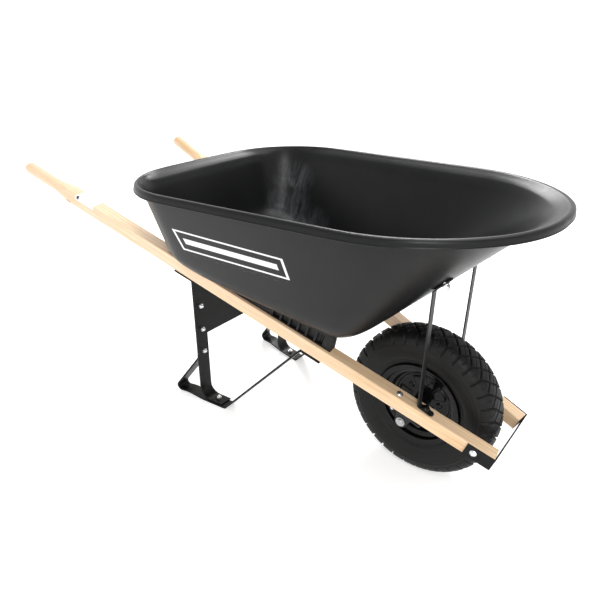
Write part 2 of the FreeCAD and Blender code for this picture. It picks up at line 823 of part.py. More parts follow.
def make_axle_bracket(name, side):
    body = new_body("axle_bracket_" + name, bracket_frame(side))
    drop = body.Placement.inverse().multVec(Vector(dim("axle_x"), side * axle_side_y, dim("wheel_radius"))).z
    flange = new_sketch(body, "XY_Plane")
    length = "Dims.bracket_half_length"
    width = "Dims.bracket_half_width"
    add_polygon(flange, [("-" + length, "-" + width), (length, "-" + width), (length, width), ("-" + length, width)])
    add_pad(body, flange, "Dims.bracket_flange", reverse=True)
    add_fillet(body, "5", lambda edge: is_straight_along(edge, Z_AXIS))
    web = new_sketch(body, "XZ_Plane")
    add_polygon(web, [("-24", "-Dims.bracket_flange+1"), ("-Dims.bracket_boss+1", "%.3f" % drop),
                      ("Dims.bracket_boss-1", "%.3f" % drop), ("24", "-Dims.bracket_flange+1")])
    add_pad(body, web, "Dims.bracket_web", midplane=True)
    boss = new_sketch(body, "XZ_Plane")
    add_circle(boss, "0", "%.3f" % drop, "Dims.bracket_boss")
    add_pad(body, boss, "Dims.bracket_web", midplane=True)
    bore = new_sketch(body, "XZ_Plane")
    add_circle(bore, "0", "%.3f" % drop, "Dims.axle_radius+Dims.running_gap")
    add_pocket(body, bore)
    holes = new_sketch(body, "XY_Plane")
    for end in (1, -1):
        station = dim("axle_at") - end * dim("bracket_half_spacing")
        spot = body.Placement.inverse().multVec(rail_line(side, station).Base)
        add_circle(holes, "%.3f" % spot.x, "%.3f" % spot.y, "Dims.bolt_radius+Dims.bolt_clearance")
    add_pocket(body, holes)


def across(y=0.0):
    """Frame on the wheel's centre with its Z axis to the left, along the axle."""
    return Placement(Vector(dim("axle_x"), y, dim("wheel_radius")), Rotation(X_AXIS, -90))


def make_axle():
    half = axle_side_y + dim("bracket_web") / 2 + 5.5
    axle = doc.addObject("Part::Cylinder", "axle_rod")
    axle.setExpression("Radius", "Dims.axle_radius")
    axle.Height = 2 * half
    bevelled = register(doc.addObject("Part::Chamfer", "axle"), "axle")
    bevelled.Base = axle
    doc.recompute()
    rims = [i + 1 for i, edge in enumerate(axle.Shape.Edges) if edge.Curve.TypeId == "Part::GeomCircle"]
    bevelled.Edges = [(number, 1.2, 1.2) for number in rims]
    bevelled.Placement = across(-half)


def make_spacer(name, side):
    outer = doc.addObject("Part::Cylinder", "spacer_%s_outer" % name)
    inner = doc.addObject("Part::Cylinder", "spacer_%s_bore" % name)
    start = dim("hub_half_length") + dim("bearing_flange") + 0.5
    length = axle_side_y - dim("bracket_web") / 2 - 0.2 - start
    for tube, radius in ((outer, "Dims.spacer_radius"), (inner, "Dims.spacer_bore")):
        tube.setExpression("Radius", radius)
        tube.Height = length
    spacer = register(doc.addObject("Part::Cut", "axle_spacer_" + name), "axle_spacer_" + name)
    spacer.Base = outer
    spacer.Tool = inner
    spacer.Placement = across(start if side > 0 else -start - length)


def make_retaining_rings():
    start = axle_side_y + dim("bracket_web") / 2 + 0.4
    rings = []
    for low in (start, -start - 1.6):
        ring = Part.makeCylinder(12.0, 1.6).cut(Part.makeCylinder(dim("axle_radius"), 1.6))
        ring.Placement = across(low)
        rings.append(ring)
    feature_of("axle_rings", Part.makeCompound(rings))


# ---------------------------------------------------------------- wheel

def make_turned(label, corners, placement):
    """Body revolved round its own Y axis from (radius, offset) corners."""
    body = new_body(label, placement)
    profile = new_sketch(body, "XY_Plane")
    add_polygon(profile, corners)
    add_revolution(body, profile)
    return body


def make_hub():
    hub = make_turned("wheel_hub", [
        ("Dims.bearing_radius", "-Dims.hub_half_length"),
        ("Dims.hub_radius", "-Dims.hub_half_length"),
        ("Dims.hub_radius", "-Dims.hub_disc_half"),
        ("Dims.hub_disc_radius", "-Dims.hub_disc_half"),
        ("Dims.hub_disc_radius", "Dims.hub_disc_half"),
        ("Dims.hub_radius", "Dims.hub_disc_half"),
        ("Dims.hub_radius", "Dims.hub_half_length"),
        ("Dims.bearing_radius", "Dims.hub_half_length"),
    ], wheel_centre)
    bolt_circle_holes(hub)


def bolt_circle_holes(body):
    """Five bolt holes round the hub, patterned from one."""
    hole = new_sketch(body, "XZ_Plane")
    add_circle(hole, "Dims.rim_bolt_circle", "0", "Dims.bolt_radius+Dims.bolt_clearance")
    pocket = add_pocket(body, hole)
    before = body.Shape.Volume
    pattern = body.newObject("PartDesign::PolarPattern", body.Label + "_holes")
    pattern.Originals = [pocket]
    pattern.Axis = (origin_feature(body, "Y_Axis"), [""])
    pattern.Angle = 360
    pattern.Occurrences = int(dim("rim_bolt_count"))
    body.Tip = pattern
    doc.recompute()
    if body.Shape.Volume > before - 1.0:
        raise RuntimeError("the bolt circle of %s is not cut" % body.Label)


def make_bearing(name, side):
    inside = "Dims.hub_half_length-Dims.bearing_depth"
    face = "Dims.hub_half_length"
    lip = "Dims.hub_half_length+Dims.bearing_flange"
    bore = "Dims.axle_radius+Dims.running_gap"
    turn = Rotation(X_AXIS, 0 if side > 0 else 180)
    make_turned("bearing_" + name, [
        (bore, inside), ("Dims.bearing_radius", inside), ("Dims.bearing_radius", face),
        ("Dims.bearing_flange_radius", face), ("Dims.bearing_flange_radius", lip), (bore, lip),
    ], Placement(wheel_centre.Base, turn))


def make_rim(name, side):
    """Pressed half rim: flat disc, well, bead seat and a flange that turns outward."""
    disc = "Dims.hub_disc_half"
    sheet_mm = "Dims.rim_sheet"
    seat = "Dims.rim_seat_radius"
    edge = "Dims.rim_flange_offset"
    outside = [
        ("Dims.hub_radius+1", disc + "+" + sheet_mm),
        ("Dims.rim_disc_radius", disc + "+" + sheet_mm),
        ("Dims.rim_well_radius-%s" % sheet_mm, disc + "+9"),
        ("Dims.rim_well_radius-%s" % sheet_mm, "23"),
        (seat + "-" + sheet_mm, "29"),
        (seat + "-" + sheet_mm, edge),
        ("Dims.rim_flange_radius", edge + "+1.5"),
    ]
    inside = [
        ("Dims.rim_flange_radius", edge + "-1"),
        (seat, edge + "-" + sheet_mm),
        (seat, "27"),
        ("Dims.rim_well_radius", "21"),
        ("Dims.rim_well_radius", disc + "+6"),
        ("Dims.rim_disc_radius+1", disc),
        ("Dims.hub_radius+1", disc),
    ]
    turn = Rotation(X_AXIS, 0 if side > 0 else 180)
    body = make_turned("rim_" + name, outside + inside, Placement(wheel_centre.Base, turn))
    bolt_circle_holes(body)
    if side < 0:
        hole = new_sketch(body, "XY_Plane")
        add_circle(hole, "0", "Dims.valve_offset", "Dims.valve_radius+Dims.bolt_clearance")
        hole.AttachmentOffset = Placement(Vector(), Rotation(Y_AXIS, 90 + dim("valve_angle")))
        add_blind_pocket(body, hole, "Dims.rim_flange_radius", reverse=True)


def make_tyre():
    """Carcass with an open inside: crown, shoulders, sidewalls and beads."""
    half = dim("tyre_half_width")
    crown = dim("wheel_radius")
    bead = dim("rim_seat_radius") + 0.3
    outer = [
        Part.Arc(Vector(bead + 13, 37, 0), Vector(150, half, 0), Vector(crown - 16, half - 4, 0)),
        Part.Arc(Vector(crown - 16, half - 4, 0), Vector(crown - 7, half - 14, 0), Vector(crown - 3, half - 26, 0)),
        Part.Arc(Vector(crown - 3, half - 26, 0), Vector(crown, 0, 0), Vector(crown - 3, 26 - half, 0)),
        Part.Arc(Vector(crown - 3, 26 - half, 0), Vector(crown - 7, 14 - half, 0), Vector(crown - 16, 4 - half, 0)),
        Part.Arc(Vector(crown - 16, 4 - half, 0), Vector(150, -half, 0), Vector(bead + 13, -37, 0)),
    ]
    inner = [
        Part.Arc(Vector(bead + 14, -28, 0), Vector(150, 6.5 - half, 0), Vector(crown - 17, -34, 0)),
        Part.Arc(Vector(crown - 17, -34, 0), Vector(crown - 12, 0, 0), Vector(crown - 17, 34, 0)),
        Part.Arc(Vector(crown - 17, 34, 0), Vector(150, half - 6.5, 0), Vector(bead + 14, 28, 0)),
    ]
    edges = [arc.toShape() for arc in outer + inner]
    beads = [(Vector(bead + 13, -37, 0), Vector(bead, -37, 0)), (Vector(bead, -37, 0), Vector(bead, -28, 0)),
             (Vector(bead, -28, 0), Vector(bead + 14, -28, 0)), (Vector(bead + 14, 28, 0), Vector(bead, 28, 0)),
             (Vector(bead, 28, 0), Vector(bead, 37, 0)), (Vector(bead, 37, 0), Vector(bead + 13, 37, 0))]
    edges += [Part.makeLine(start, end) for start, end in beads]
    section = Part.Face(Part.Wire(Part.__sortEdges__(edges)))
    feature_of("tyre", section.revolve(Vector(), Y_AXIS, 360), wheel_centre)


def make_inner_tube():
    tube = register(doc.addObject("Part::Cut", "inner_tube"), "inner_tube")
    for role, radius in (("Base", "Dims.tube_outer"), ("Tool", "Dims.tube_outer-Dims.tube_wall")):
        ring = doc.addObject("Part::Torus", "inner_tube_" + role.lower())
        ring.setExpression("Radius1", "Dims.tube_centre_radius")
        ring.setExpression("Radius2", radius)
        setattr(tube, role, ring)
    tube.Placement = across()


def make_valve():
    """Valve stem and its cap, on a spoke of the near side of the wheel."""
    angle = math.radians(dim("valve_angle"))
    direction = Vector(math.cos(angle), 0, math.sin(angle))
    frame = Placement(wheel_centre.Base - Y_AXIS * dim("valve_offset"), Rotation(Y_AXIS, direction))
    inner = "Dims.valve_inner_end"
    outer = "Dims.valve_outer_end"
    make_turned("valve_stem", [
        ("0", inner), ("Dims.valve_radius-1.2", inner), ("Dims.valve_radius-1.2", inner + "+10"),
        ("Dims.valve_radius", inner + "+14"), ("Dims.valve_radius", outer + "-3"),
        ("Dims.valve_radius+3", outer), ("0", outer),
    ], frame)
    rim = inner + "+9"
    make_turned("valve_cap", [
        ("0", rim + "-Dims.cap_length"), ("Dims.cap_radius-1.5", rim + "-Dims.cap_length"),
        ("Dims.cap_radius", rim + "-Dims.cap_length+2"), ("Dims.cap_radius", rim),
        ("Dims.valve_radius-1", rim), ("Dims.valve_radius-1", inner + "-0.5"), ("0", inner + "-0.5"),
    ], frame)


# ---------------------------------------------------------------- fasteners

def dome_bolt(length, radius=dim("dome_radius"), height=dim("dome_height")):
    """Round-headed bolt: head above z = 0, shank below."""
    ball = (radius ** 2 + height ** 2) / (2 * height)
    head = Part.makeSphere(ball, Vector(0, 0, height - ball)).common(Part.makeCylinder(radius + 1, height + 1))
    return head.fuse(bolt_shank(length)).removeSplitter()


def bolt_shank(length):
    radius = dim("bolt_radius")
    shank = Part.makeCylinder(radius, length - 1, Vector(0, 0, 1 - length))
    return shank.fuse(Part.makeCone(radius - 0.8, radius, 1, Vector(0, 0, -length)))


def sunk_bolt(length):
    """Flat-headed bolt whose head tapers down from z = 0."""
    radius = dim("bolt_radius")
    head = Part.makeCone(radius, dim("sunk_radius"), dim("sunk_depth"), Vector(0, 0, -dim("sunk_depth")))
    return head.fuse(bolt_shank(length)).removeSplitter()


def hex_nut():
    """Nut standing on z = 0, corners rounded off."""
    corner = dim("nut_across") / math.sqrt(3)
    height = dim("nut_height")
    points = [Rotation(Z_AXIS, 60 * k).multVec(Vector(corner, 0, 0)) for k in range(7)]
    prism = Part.Face(Part.makePolygon(points)).extrude(Vector(0, 0, height))
    barrel = Part.makeCylinder(corner, height)
    barrel = barrel.makeChamfer(0.9, [edge for edge in barrel.Edges if edge.Curve.TypeId == "Part::GeomCircle"])
    return prism.common(barrel).cut(Part.makeCylinder(dim("bolt_radius") + dim("running_gap"), height))


def washer():
    ring = Part.makeCylinder(dim("washer_radius"), dim("washer_thick"))
    return ring.cut(Part.makeCylinder(dim("bolt_radius") + dim("bolt_clearance"), dim("washer_thick")))


def at_height(line, up):
    return line * Placement(Vector(0, 0, up), Rotation())


def below(line, down):
    """Frame on a bolt line facing the other way, `down` beneath the line's origin."""
    return line * Placement(Vector(0, 0, -down), Rotation(X_AXIS, 180))


def group(label, shapes):
    feature_of(label, Part.makeCompound(shapes))


def make_fasteners():
    deep = dim("handle_deep")
    nut_high = dim("nut_height")
    tail = nut_high + dim("thread_proud")
    strap = dim("strap_thick")
    washer_mm = dim("washer_thick")
    front_lines = [rail_line(side, dim("front_tray_bolt_at")) for _, side in SIDES]
    rear_lines = [rail_line(side, dim("rear_tray_bolt_at")) for _, side in SIDES]
    tray_wall = dim("tray_wall")
    foot = dim("foot_thick")
    group("front_tray_bolts", [placed(dome_bolt(front_head_up + deep + foot + tail), at_height(line, front_head_up))
                               for line in front_lines])
    group("rear_tray_bolts", [placed(dome_bolt(tray_wall + deep + strap + tail), at_height(line, tray_wall))
                              for line in rear_lines])
    nut_lines = [below(line, deep + foot) for line in front_lines] + [below(line, deep + strap) for line in rear_lines]
    group("tray_bolt_nuts", [placed(hex_nut(), line) for line in nut_lines])

    bracket_stack = deep + dim("bracket_flange") + washer_mm + tail
    pad = dim("brace_thick")
    cap = (dim("cap_dome_radius"), dim("cap_dome_height"))
    pad_lines = [rail_line(side, dim("axle_at") - dim("bracket_half_spacing")) for _, side in SIDES]
    bare_lines = [rail_line(side, dim("axle_at") + dim("bracket_half_spacing")) for _, side in SIDES]
    group("brace_foot_bolts", [placed(dome_bolt(pad + bracket_stack, *cap), at_height(line, pad))
                               for line in pad_lines])
    group("bracket_bolts", [placed(dome_bolt(bracket_stack), line) for line in bare_lines])
    bracket_lines = [below(line, deep + dim("bracket_flange")) for line in pad_lines + bare_lines]
    brace_lines = [brace_top_line(side) for _, side in SIDES]
    brace_outside = dim("brace_thick") + dim("brace_gap") + 0.2
    outer_lines = [at_height(line, brace_outside) for line in brace_lines]
    group("washers", [placed(washer(), line) for line in bracket_lines + outer_lines])
    group("bracket_nuts", [placed(hex_nut(), at_height(line, washer_mm)) for line in bracket_lines])
    group("brace_nuts", [placed(hex_nut(), at_height(line, washer_mm)) for line in outer_lines])
    inside = tray_wall + 0.3
    group("brace_bolts", [placed(dome_bolt(inside + brace_outside + washer_mm + tail), below(line, inside))
                          for line in brace_lines])

    wide = dim("handle_wide") / 2
    nose_out = wide + dim("nose_strap_thick")
    nose_lines = [nose_line(side) for _, side in SIDES]
    group("nose_bolts", [placed(dome_bolt(nose_out + wide + tail), at_height(line, nose_out)) for line in nose_lines])
    group("nose_nuts", [placed(hex_nut(), below(line, wide)) for line in nose_lines])

    strap_bolts = []
    strap_nuts = []
    for _, side in SIDES:
        for height in plate_bolt_heights + [dim("tab_bolt_height")]:
            backing = foot if height == dim("tab_bolt_height") else dim("plate_thick")
            line = forward_line(side, height)
            behind = strap / 2 + backing
            strap_bolts.append(placed(dome_bolt(behind + strap / 2 + tail), below(line, behind)))
            strap_nuts.append(placed(hex_nut(), at_height(line, strap / 2)))
    group("strap_bolts", strap_bolts)
    group("strap_nuts", strap_nuts)

    foot_lines = [foot_line(side) for _, side in SIDES]
    foot_stack = foot + strap
    recess = 0.5
    group("foot_bolts", [placed(sunk_bolt(foot_stack - recess + tail), below(line, -recess)) for line in foot_lines])
    group("foot_nuts", [placed(hex_nut(), at_height(line, foot_stack)) for line in foot_lines])

    rim_face = dim("hub_disc_half") + dim("rim_sheet")
    rim_bolts = []
    rim_nuts = []
    count = int(dim("rim_bolt_count"))
    for k in range(count):
        spoke = Rotation(Y_AXIS, 360 * k / count).multVec(Vector(dim("rim_bolt_circle"), 0, 0))
        line = Placement(wheel_centre.Base + spoke, Rotation(X_AXIS, -90))
        rim_bolts.append(placed(dome_bolt(2 * rim_face + tail), below(line, rim_face)))
        rim_nuts.append(placed(hex_nut(), at_height(line, rim_face)))
    group("rim_bolts", rim_bolts)
    group("rim_nuts", rim_nuts)


# ---------------------------------------------------------------- the whole wheelbarrow

front_head_up = value_of("(Dims.riser_heel_at-Dims.front_tray_bolt_at)*tan(Dims.riser_angle)+Dims.tray_wall+0.6")
tray_outside = make_tray_outside()
make_tray()
for name, side in SIDES:
    make_handle(name, side)
    make_riser(name, side)
    make_leg(name, side)
    make_foot_strap(name, side)
    make_brace(name, side)
    make_axle_bracket(name, side)
    make_spacer(name, side)
    make_bearing(name, side)
    make_rim(name, side)
make_cross_plate()
make_nose_strap()
make_axle()
make_retaining_rings()
make_hub()
make_tyre()
make_inner_tube()
make_valve()
make_fasteners()
doc.recompute()

for item in doc.Objects:
    if "Invalid" in item.State or "Error" in item.State:
        raise RuntimeError("%s is in error" % item.Label)
for part in sub_parts:
    if part.Shape.isNull() or not part.Shape.isValid():
        raise RuntimeError("%s has no sound shape" % part.Label)
    part.Shape.exportStep("parts/%s.step" % part.Label)
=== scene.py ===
import bpy
import math
import numpy as np
from mathutils import Matrix, Vector
from mathutils.bvhtree import BVHTree


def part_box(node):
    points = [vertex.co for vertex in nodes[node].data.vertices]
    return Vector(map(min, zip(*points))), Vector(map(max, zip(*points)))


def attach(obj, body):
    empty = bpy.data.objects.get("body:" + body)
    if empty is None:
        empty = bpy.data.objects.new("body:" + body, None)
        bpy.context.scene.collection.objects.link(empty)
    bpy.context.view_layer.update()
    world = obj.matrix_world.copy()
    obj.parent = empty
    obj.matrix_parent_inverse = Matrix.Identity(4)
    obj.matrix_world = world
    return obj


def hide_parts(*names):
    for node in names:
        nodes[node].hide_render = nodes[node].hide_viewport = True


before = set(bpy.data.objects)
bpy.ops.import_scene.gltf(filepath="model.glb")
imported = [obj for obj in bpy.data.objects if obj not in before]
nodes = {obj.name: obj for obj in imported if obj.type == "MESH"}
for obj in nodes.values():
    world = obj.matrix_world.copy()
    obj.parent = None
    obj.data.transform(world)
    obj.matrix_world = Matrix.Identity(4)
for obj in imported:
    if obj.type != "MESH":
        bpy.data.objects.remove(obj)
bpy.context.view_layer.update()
scene = bpy.context.scene
rng = np.random.default_rng(7)

# the handles: their slope, how far each turns in, and their section
RAIL_SLOPE = math.radians(15.4)
RAIL_TOE = math.radians(7.41)
RAIL_HALF_WIDE = 0.01875
RAIL_HALF_TALL = 0.0181
RAIL_EDGE = 0.003
NOSE_X, NOSE_TOP, NOSE_HALF = 0.7318, 0.2092, 0.1053


# ---------------------------------------------------------------- meshes

def make_piece(name, verts, faces, material, body, smooth=True):
    mesh = bpy.data.meshes.new(name)
    mesh.from_pydata([tuple(v) for v in verts], [], [tuple(int(i) for i in f) for f in faces])
    mesh.polygons.foreach_set("use_smooth", [smooth] * len(mesh.polygons))
    mesh.materials.append(material)
    mesh.update()
    piece = bpy.data.objects.new(name, mesh)
    scene.collection.objects.link(piece)
    if body:
        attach(piece, body)
    return piece


def ring_faces(rows, columns, wrap_rows=False):
    """Quads between consecutive rings of equal length."""
    faces = []
    last = rows if wrap_rows else rows - 1
    for i in range(last):
        a = i * columns
        b = ((i + 1) % rows) * columns
        for j in range(columns):
            k = (j + 1) % columns
            faces.append((a + j, a + k, b + k, b + j))
    return faces


def smoothstep(low, high, x):
    t = np.clip((x - low) / (high - low), 0.0, 1.0)
    return t * t * (3 - 2 * t)


def unit(v):
    return v / np.linalg.norm(v)


# ---------------------------------------------------------------- materials

class Shader:
    """A node material under construction."""

    def __init__(self, name, colour, roughness, metallic=0.0):
        self.material = bpy.data.materials.new(name)
        self.material.use_nodes = True
        self.tree = self.material.node_tree
        self.bsdf = self.tree.nodes["Principled BSDF"]
        self.set("Base Color", (*colour, 1.0))
        self.set("Roughness", roughness)
        self.set("Metallic", metallic)
        self.coords = self.node("ShaderNodeTexCoord").outputs["Object"]

    def set(self, socket, value):
        self.bsdf.inputs[socket].default_value = value

    def node(self, kind, **values):
        made = self.tree.nodes.new(kind)
        for key, value in values.items():
            setattr(made, key, value)
        return made

    def link(self, source, target):
        self.tree.links.new(source, target)

    def math(self, operation, a, b=0.0):
        made = self.node("ShaderNodeMath", operation=operation)
        for socket, value in zip(made.inputs, (a, b)):
            if isinstance(value, (int, float)):
                socket.default_value = value
            else:
                self.link(value, socket)
        return made.outputs[0]

    def noise(self, scale, detail=4.0, rough=0.55, coords=None, distortion=0.0):
        made = self.node("ShaderNodeTexNoise")
        made.inputs["Scale"].default_value = scale
        made.inputs["Detail"].default_value = detail
        made.inputs["Roughness"].default_value = rough
        made.inputs["Distortion"].default_value = distortion
        self.link(coords or self.coords, made.inputs["Vector"])
        return made.outputs["Fac"]

    def stretched(self, rows, scale, location=(0, 0, 0)):
        """Object coordinates turned into the frame of `rows` and scaled."""
        combine = self.node("ShaderNodeCombineXYZ")
        for row, factor, shift, socket in zip(rows, scale, location, combine.inputs):
            dot = self.node("ShaderNodeVectorMath", operation="DOT_PRODUCT")
            self.link(self.coords, dot.inputs[0])
            dot.inputs[1].default_value = tuple(row)
            self.link(self.math("MULTIPLY", self.math("ADD", dot.outputs["Value"], shift), factor), socket)
        return combine.outputs[0]

    def ramp(self, source, stops):
        made = self.node("ShaderNodeValToRGB")
        elements = made.color_ramp.elements
        while len(elements) < len(stops):
            elements.new(0.5)
        for element, (position, colour) in zip(elements, stops):
            element.position = position
            element.color = (*colour, 1.0) if len(colour) == 3 else colour
        self.link(source, made.inputs["Fac"])
        return made.outputs["Color"]

    def span(self, source, low, high, to_low, to_high):
        made = self.node("ShaderNodeMapRange")
        for socket, value in zip(("From Min", "From Max", "To Min", "To Max"), (low, high, to_low, to_high)):
            made.inputs[socket].default_value = value
        self.link(source, made.inputs["Value"])
        return made.outputs["Result"]

    def mix(self, factor, a, b, blend="MIX"):
        made = self.node("ShaderNodeMix", data_type="RGBA", blend_type=blend)
        for socket, value in ((made.inputs[0], factor), (made.inputs[6], a), (made.inputs[7], b)):
            if isinstance(value, (int, float)):
                socket.default_value = value
            elif isinstance(value, tuple):
                socket.default_value = (*value, 1.0)
            else:
                self.link(value, socket)
        return made.outputs[2]

    def distance(self, point):
        made = self.node("ShaderNodeVectorMath", operation="DISTANCE")
        self.link(self.coords, made.inputs[0])
        made.inputs[1].default_value = point
        return made.outputs["Value"]

    def bump(self, height, strength, distance):
        made = self.node("ShaderNodeBump")
        made.inputs["Strength"].default_value = strength
        made.inputs["Distance"].default_value = distance
        self.link(height, made.inputs["Height"])
        if self.bsdf.inputs["Normal"].is_linked:
            self.link(self.bsdf.inputs["Normal"].links[0].from_socket, made.inputs["Normal"])
        self.link(made.outputs["Normal"], self.bsdf.inputs["Normal"])

    def colour(self, source):
        self.link(source, self.bsdf.inputs["Base Color"])

    def roughness(self, source):
        self.link(source, self.bsdf.inputs["Roughness"])


# pale streaks down the inside of the left rear corner and over the floor, partly dried dust and partly a
# painted highlight: centres and reaches
DUST_AND_HIGHLIGHT = (((-0.155, 0.240, 0.590), 0.075), ((-0.145, 0.210, 0.520), 0.080), ((-0.080, 0.160, 0.440), 0.130))
# colour of the pale streaks: dust together with a painted highlight
DUST_AND_HIGHLIGHT_COLOUR = (0.13, 0.134, 0.148)


def tray_plastic():
    s = Shader("tray_plastic", (0.014, 0.0145, 0.015), 0.36)
    broad = s.noise(5.0, 3.0)
    plain = s.ramp(broad, [(0.3, (0.0065, 0.0067, 0.0069)), (0.7, (0.0100, 0.0102, 0.0105))])
    dust_and_highlight_reach = None
    # reach of the pale streaks, which are dust and a painted highlight
    for centre, reach in DUST_AND_HIGHLIGHT:
        here = s.span(s.distance(centre), reach * 0.15, reach, 1.0, 0.0)
        dust_and_highlight_reach = here if dust_and_highlight_reach is None else s.math("MAXIMUM", dust_and_highlight_reach, here)
    streak = s.noise(1.0, 6.0, 0.68, s.stretched(np.eye(3), (46.0, 30.0, 5.0)), 0.9)
    facing = s.node("ShaderNodeSeparateXYZ")
    s.link(s.node("ShaderNodeNewGeometry").outputs["Normal"], facing.inputs[0])
    inside = s.span(facing.outputs["Z"], 0.08, 0.25, 0.0, 1.0)
    # the pale streaks, partly dust and partly a painted highlight, are mixed into the base colour on the
    # upward-facing inside surfaces
    dust_and_highlight_amount = s.math("MULTIPLY", s.math("MULTIPLY", dust_and_highlight_reach, inside), s.span(streak, 0.40, 0.68, 0.04, 1.0))
    s.colour(s.mix(dust_and_highlight_amount, plain, DUST_AND_HIGHLIGHT_COLOUR))
    fine = s.noise(900.0, 2.0)
    scuff = s.noise(38.0, 8.0, 0.7, distortion=1.5)
    s.roughness(s.span(scuff, 0.35, 0.75, 0.28, 0.38))
    s.bump(fine, 0.03, 0.0002)
    s.bump(broad, 0.10, 0.002)
    s.set("Specular IOR Level", 0.19)
    return s.material


# where each handle's knot lies, by side
KNOTS = {-1: (-0.5560, -0.2880, 0.5230), 1: (-0.2000, 0.2350, 0.4400)}


def handle_wood(name, side):
    """Sawn hardwood with the grain along the handle."""
    s = Shader("wood_" + name, (0.7, 0.5, 0.3), 0.5)
    toe = RAIL_TOE * side
    along = Vector((math.cos(RAIL_SLOPE) * math.cos(toe), -math.sin(toe),
                    -math.sin(RAIL_SLOPE) * math.cos(toe)))
    up = Vector((math.sin(RAIL_SLOPE), 0.0, math.cos(RAIL_SLOPE)))
    across = up.cross(along)
    axes = (along, across, up)
    shift = (0.31 * side, 0.05 * side, 0.02)
    board = s.noise(1.0, 3.0, 0.5, s.stretched(axes, (2.2, 9.0, 9.0), shift))
    grain = s.noise(1.0, 6.0, 0.62, s.stretched(axes, (7.0, 190.0, 190.0), shift), 0.4)
    pores = s.noise(1.0, 3.0, 0.6, s.stretched(axes, (28.0, 900.0, 900.0), shift))
    rings = s.node("ShaderNodeTexWave", wave_type="BANDS", bands_direction="Y")
    rings.inputs["Scale"].default_value = 1.0
    rings.inputs["Distortion"].default_value = 6.0
    rings.inputs["Detail"].default_value = 3.0
    rings.inputs["Detail Scale"].default_value = 0.6
    s.link(s.stretched(axes, (1.6, 26.0, 19.0), shift), rings.inputs["Vector"])
    tone = s.ramp(board, [(0.28, (0.72, 0.50, 0.30)), (0.45, (0.82, 0.62, 0.41)),
                          (0.58, (0.86, 0.64, 0.46)), (0.75, (0.88, 0.69, 0.48))])
    streaks = s.ramp(grain, [(0.35, (0.80, 0.72, 0.62)), (0.62, (1.0, 1.0, 1.0))])
    colour = s.mix(0.75, tone, streaks, "MULTIPLY")
    late = s.ramp(rings.outputs["Fac"], [(0.0, (0.86, 0.76, 0.64)), (0.5, (1.0, 1.0, 1.0))])
    colour = s.mix(0.45, colour, late, "MULTIPLY")
    dots = s.ramp(pores, [(0.30, (0.62, 0.50, 0.38)), (0.40, (1.0, 1.0, 1.0))])
    colour = s.mix(0.5, colour, dots, "MULTIPLY")
    wobble = s.math("ADD", s.distance(KNOTS[side]), s.math("MULTIPLY", s.noise(90.0, 4.0), 0.012))
    knot = s.ramp(s.span(wobble, 0.010, 0.024, 0.0, 1.0),
                  [(0.0, (0.20, 0.10, 0.05)), (0.5, (0.62, 0.45, 0.32)), (1.0, (1.0, 1.0, 1.0))])
    s.colour(s.mix(1.0, colour, knot, "MULTIPLY"))
    s.roughness(s.span(grain, 0.3, 0.7, 0.42, 0.58))
    s.bump(grain, 0.25, 0.0004)
    s.bump(pores, 0.15, 0.0002)
    return s.material


def powder_coat():
    s = Shader("powder_coat", (0.004, 0.004, 0.004), 0.34)
    s.set("Specular IOR Level", 0.15)
    peel = s.noise(420.0, 2.0)
    wear = s.noise(24.0, 7.0, 0.65)
    s.roughness(s.span(wear, 0.3, 0.75, 0.28, 0.46))
    s.colour(s.ramp(wear, [(0.35, (0.0035, 0.0035, 0.0035)), (0.8, (0.008, 0.008, 0.008))]))
    s.bump(peel, 0.25, 0.0003)
    return s.material


def brace_steel():
    s = Shader("brace_steel", (0.012, 0.012, 0.012), 0.4)
    s.set("Specular IOR Level", 0.25)
    wear = s.noise(30.0, 6.0, 0.65)
    s.colour(s.ramp(wear, [(0.35, (0.008, 0.008, 0.008)), (0.75, (0.018, 0.0175, 0.017))]))
    s.roughness(s.span(wear, 0.3, 0.75, 0.34, 0.5))
    s.bump(s.noise(300.0, 3.0), 0.2, 0.0003)
    return s.material


def gloss_black(name, roughness=0.12):
    s = Shader(name, (0.003, 0.003, 0.003), roughness)
    s.set("Coat Weight", 0.12)
    s.set("Specular IOR Level", 0.16)
    s.set("Coat Roughness", 0.06)
    peel = s.noise(150.0, 2.0)
    s.roughness(s.span(s.noise(20.0, 5.0), 0.3, 0.7, roughness * 0.8, roughness * 1.9))
    s.bump(peel, 0.16, 0.0006)
    return s.material


def tyre_rubber():
    s = Shader("tyre_rubber", (0.006, 0.006, 0.006), 0.5)
    s.set("Specular IOR Level", 0.2)
    dust = s.noise(9.0, 7.0, 0.65)
    s.colour(s.ramp(dust, [(0.35, (0.0045, 0.0045, 0.0045)), (0.8, (0.010, 0.0098, 0.0092))]))
    s.roughness(s.span(dust, 0.3, 0.75, 0.38, 0.58))
    s.bump(s.noise(700.0, 3.0), 0.25, 0.0004)
    s.bump(s.noise(60.0, 4.0), 0.2, 0.0006)
    return s.material


def zinc():
    s = Shader("zinc_plate", (0.72, 0.72, 0.74), 0.3, 1.0)
    mottle = s.noise(260.0, 4.0, 0.6)
    s.colour(s.ramp(mottle, [(0.3, (0.60, 0.60, 0.61)), (0.7, (0.84, 0.84, 0.86))]))
    s.roughness(s.span(mottle, 0.3, 0.7, 0.2, 0.42))
    s.bump(s.noise(1200.0, 2.0), 0.2, 0.0002)
    return s.material


def dull_steel(name, level):
    s = Shader(name, (level, level, level * 1.01), 0.38, 1.0)
    brushed = s.noise(1.0, 3.0, 0.6, s.stretched(np.eye(3), (1500.0, 90.0, 1500.0)))
    s.roughness(s.span(brushed, 0.3, 0.7, 0.28, 0.5))
    s.bump(brushed, 0.12, 0.0002)
    return s.material


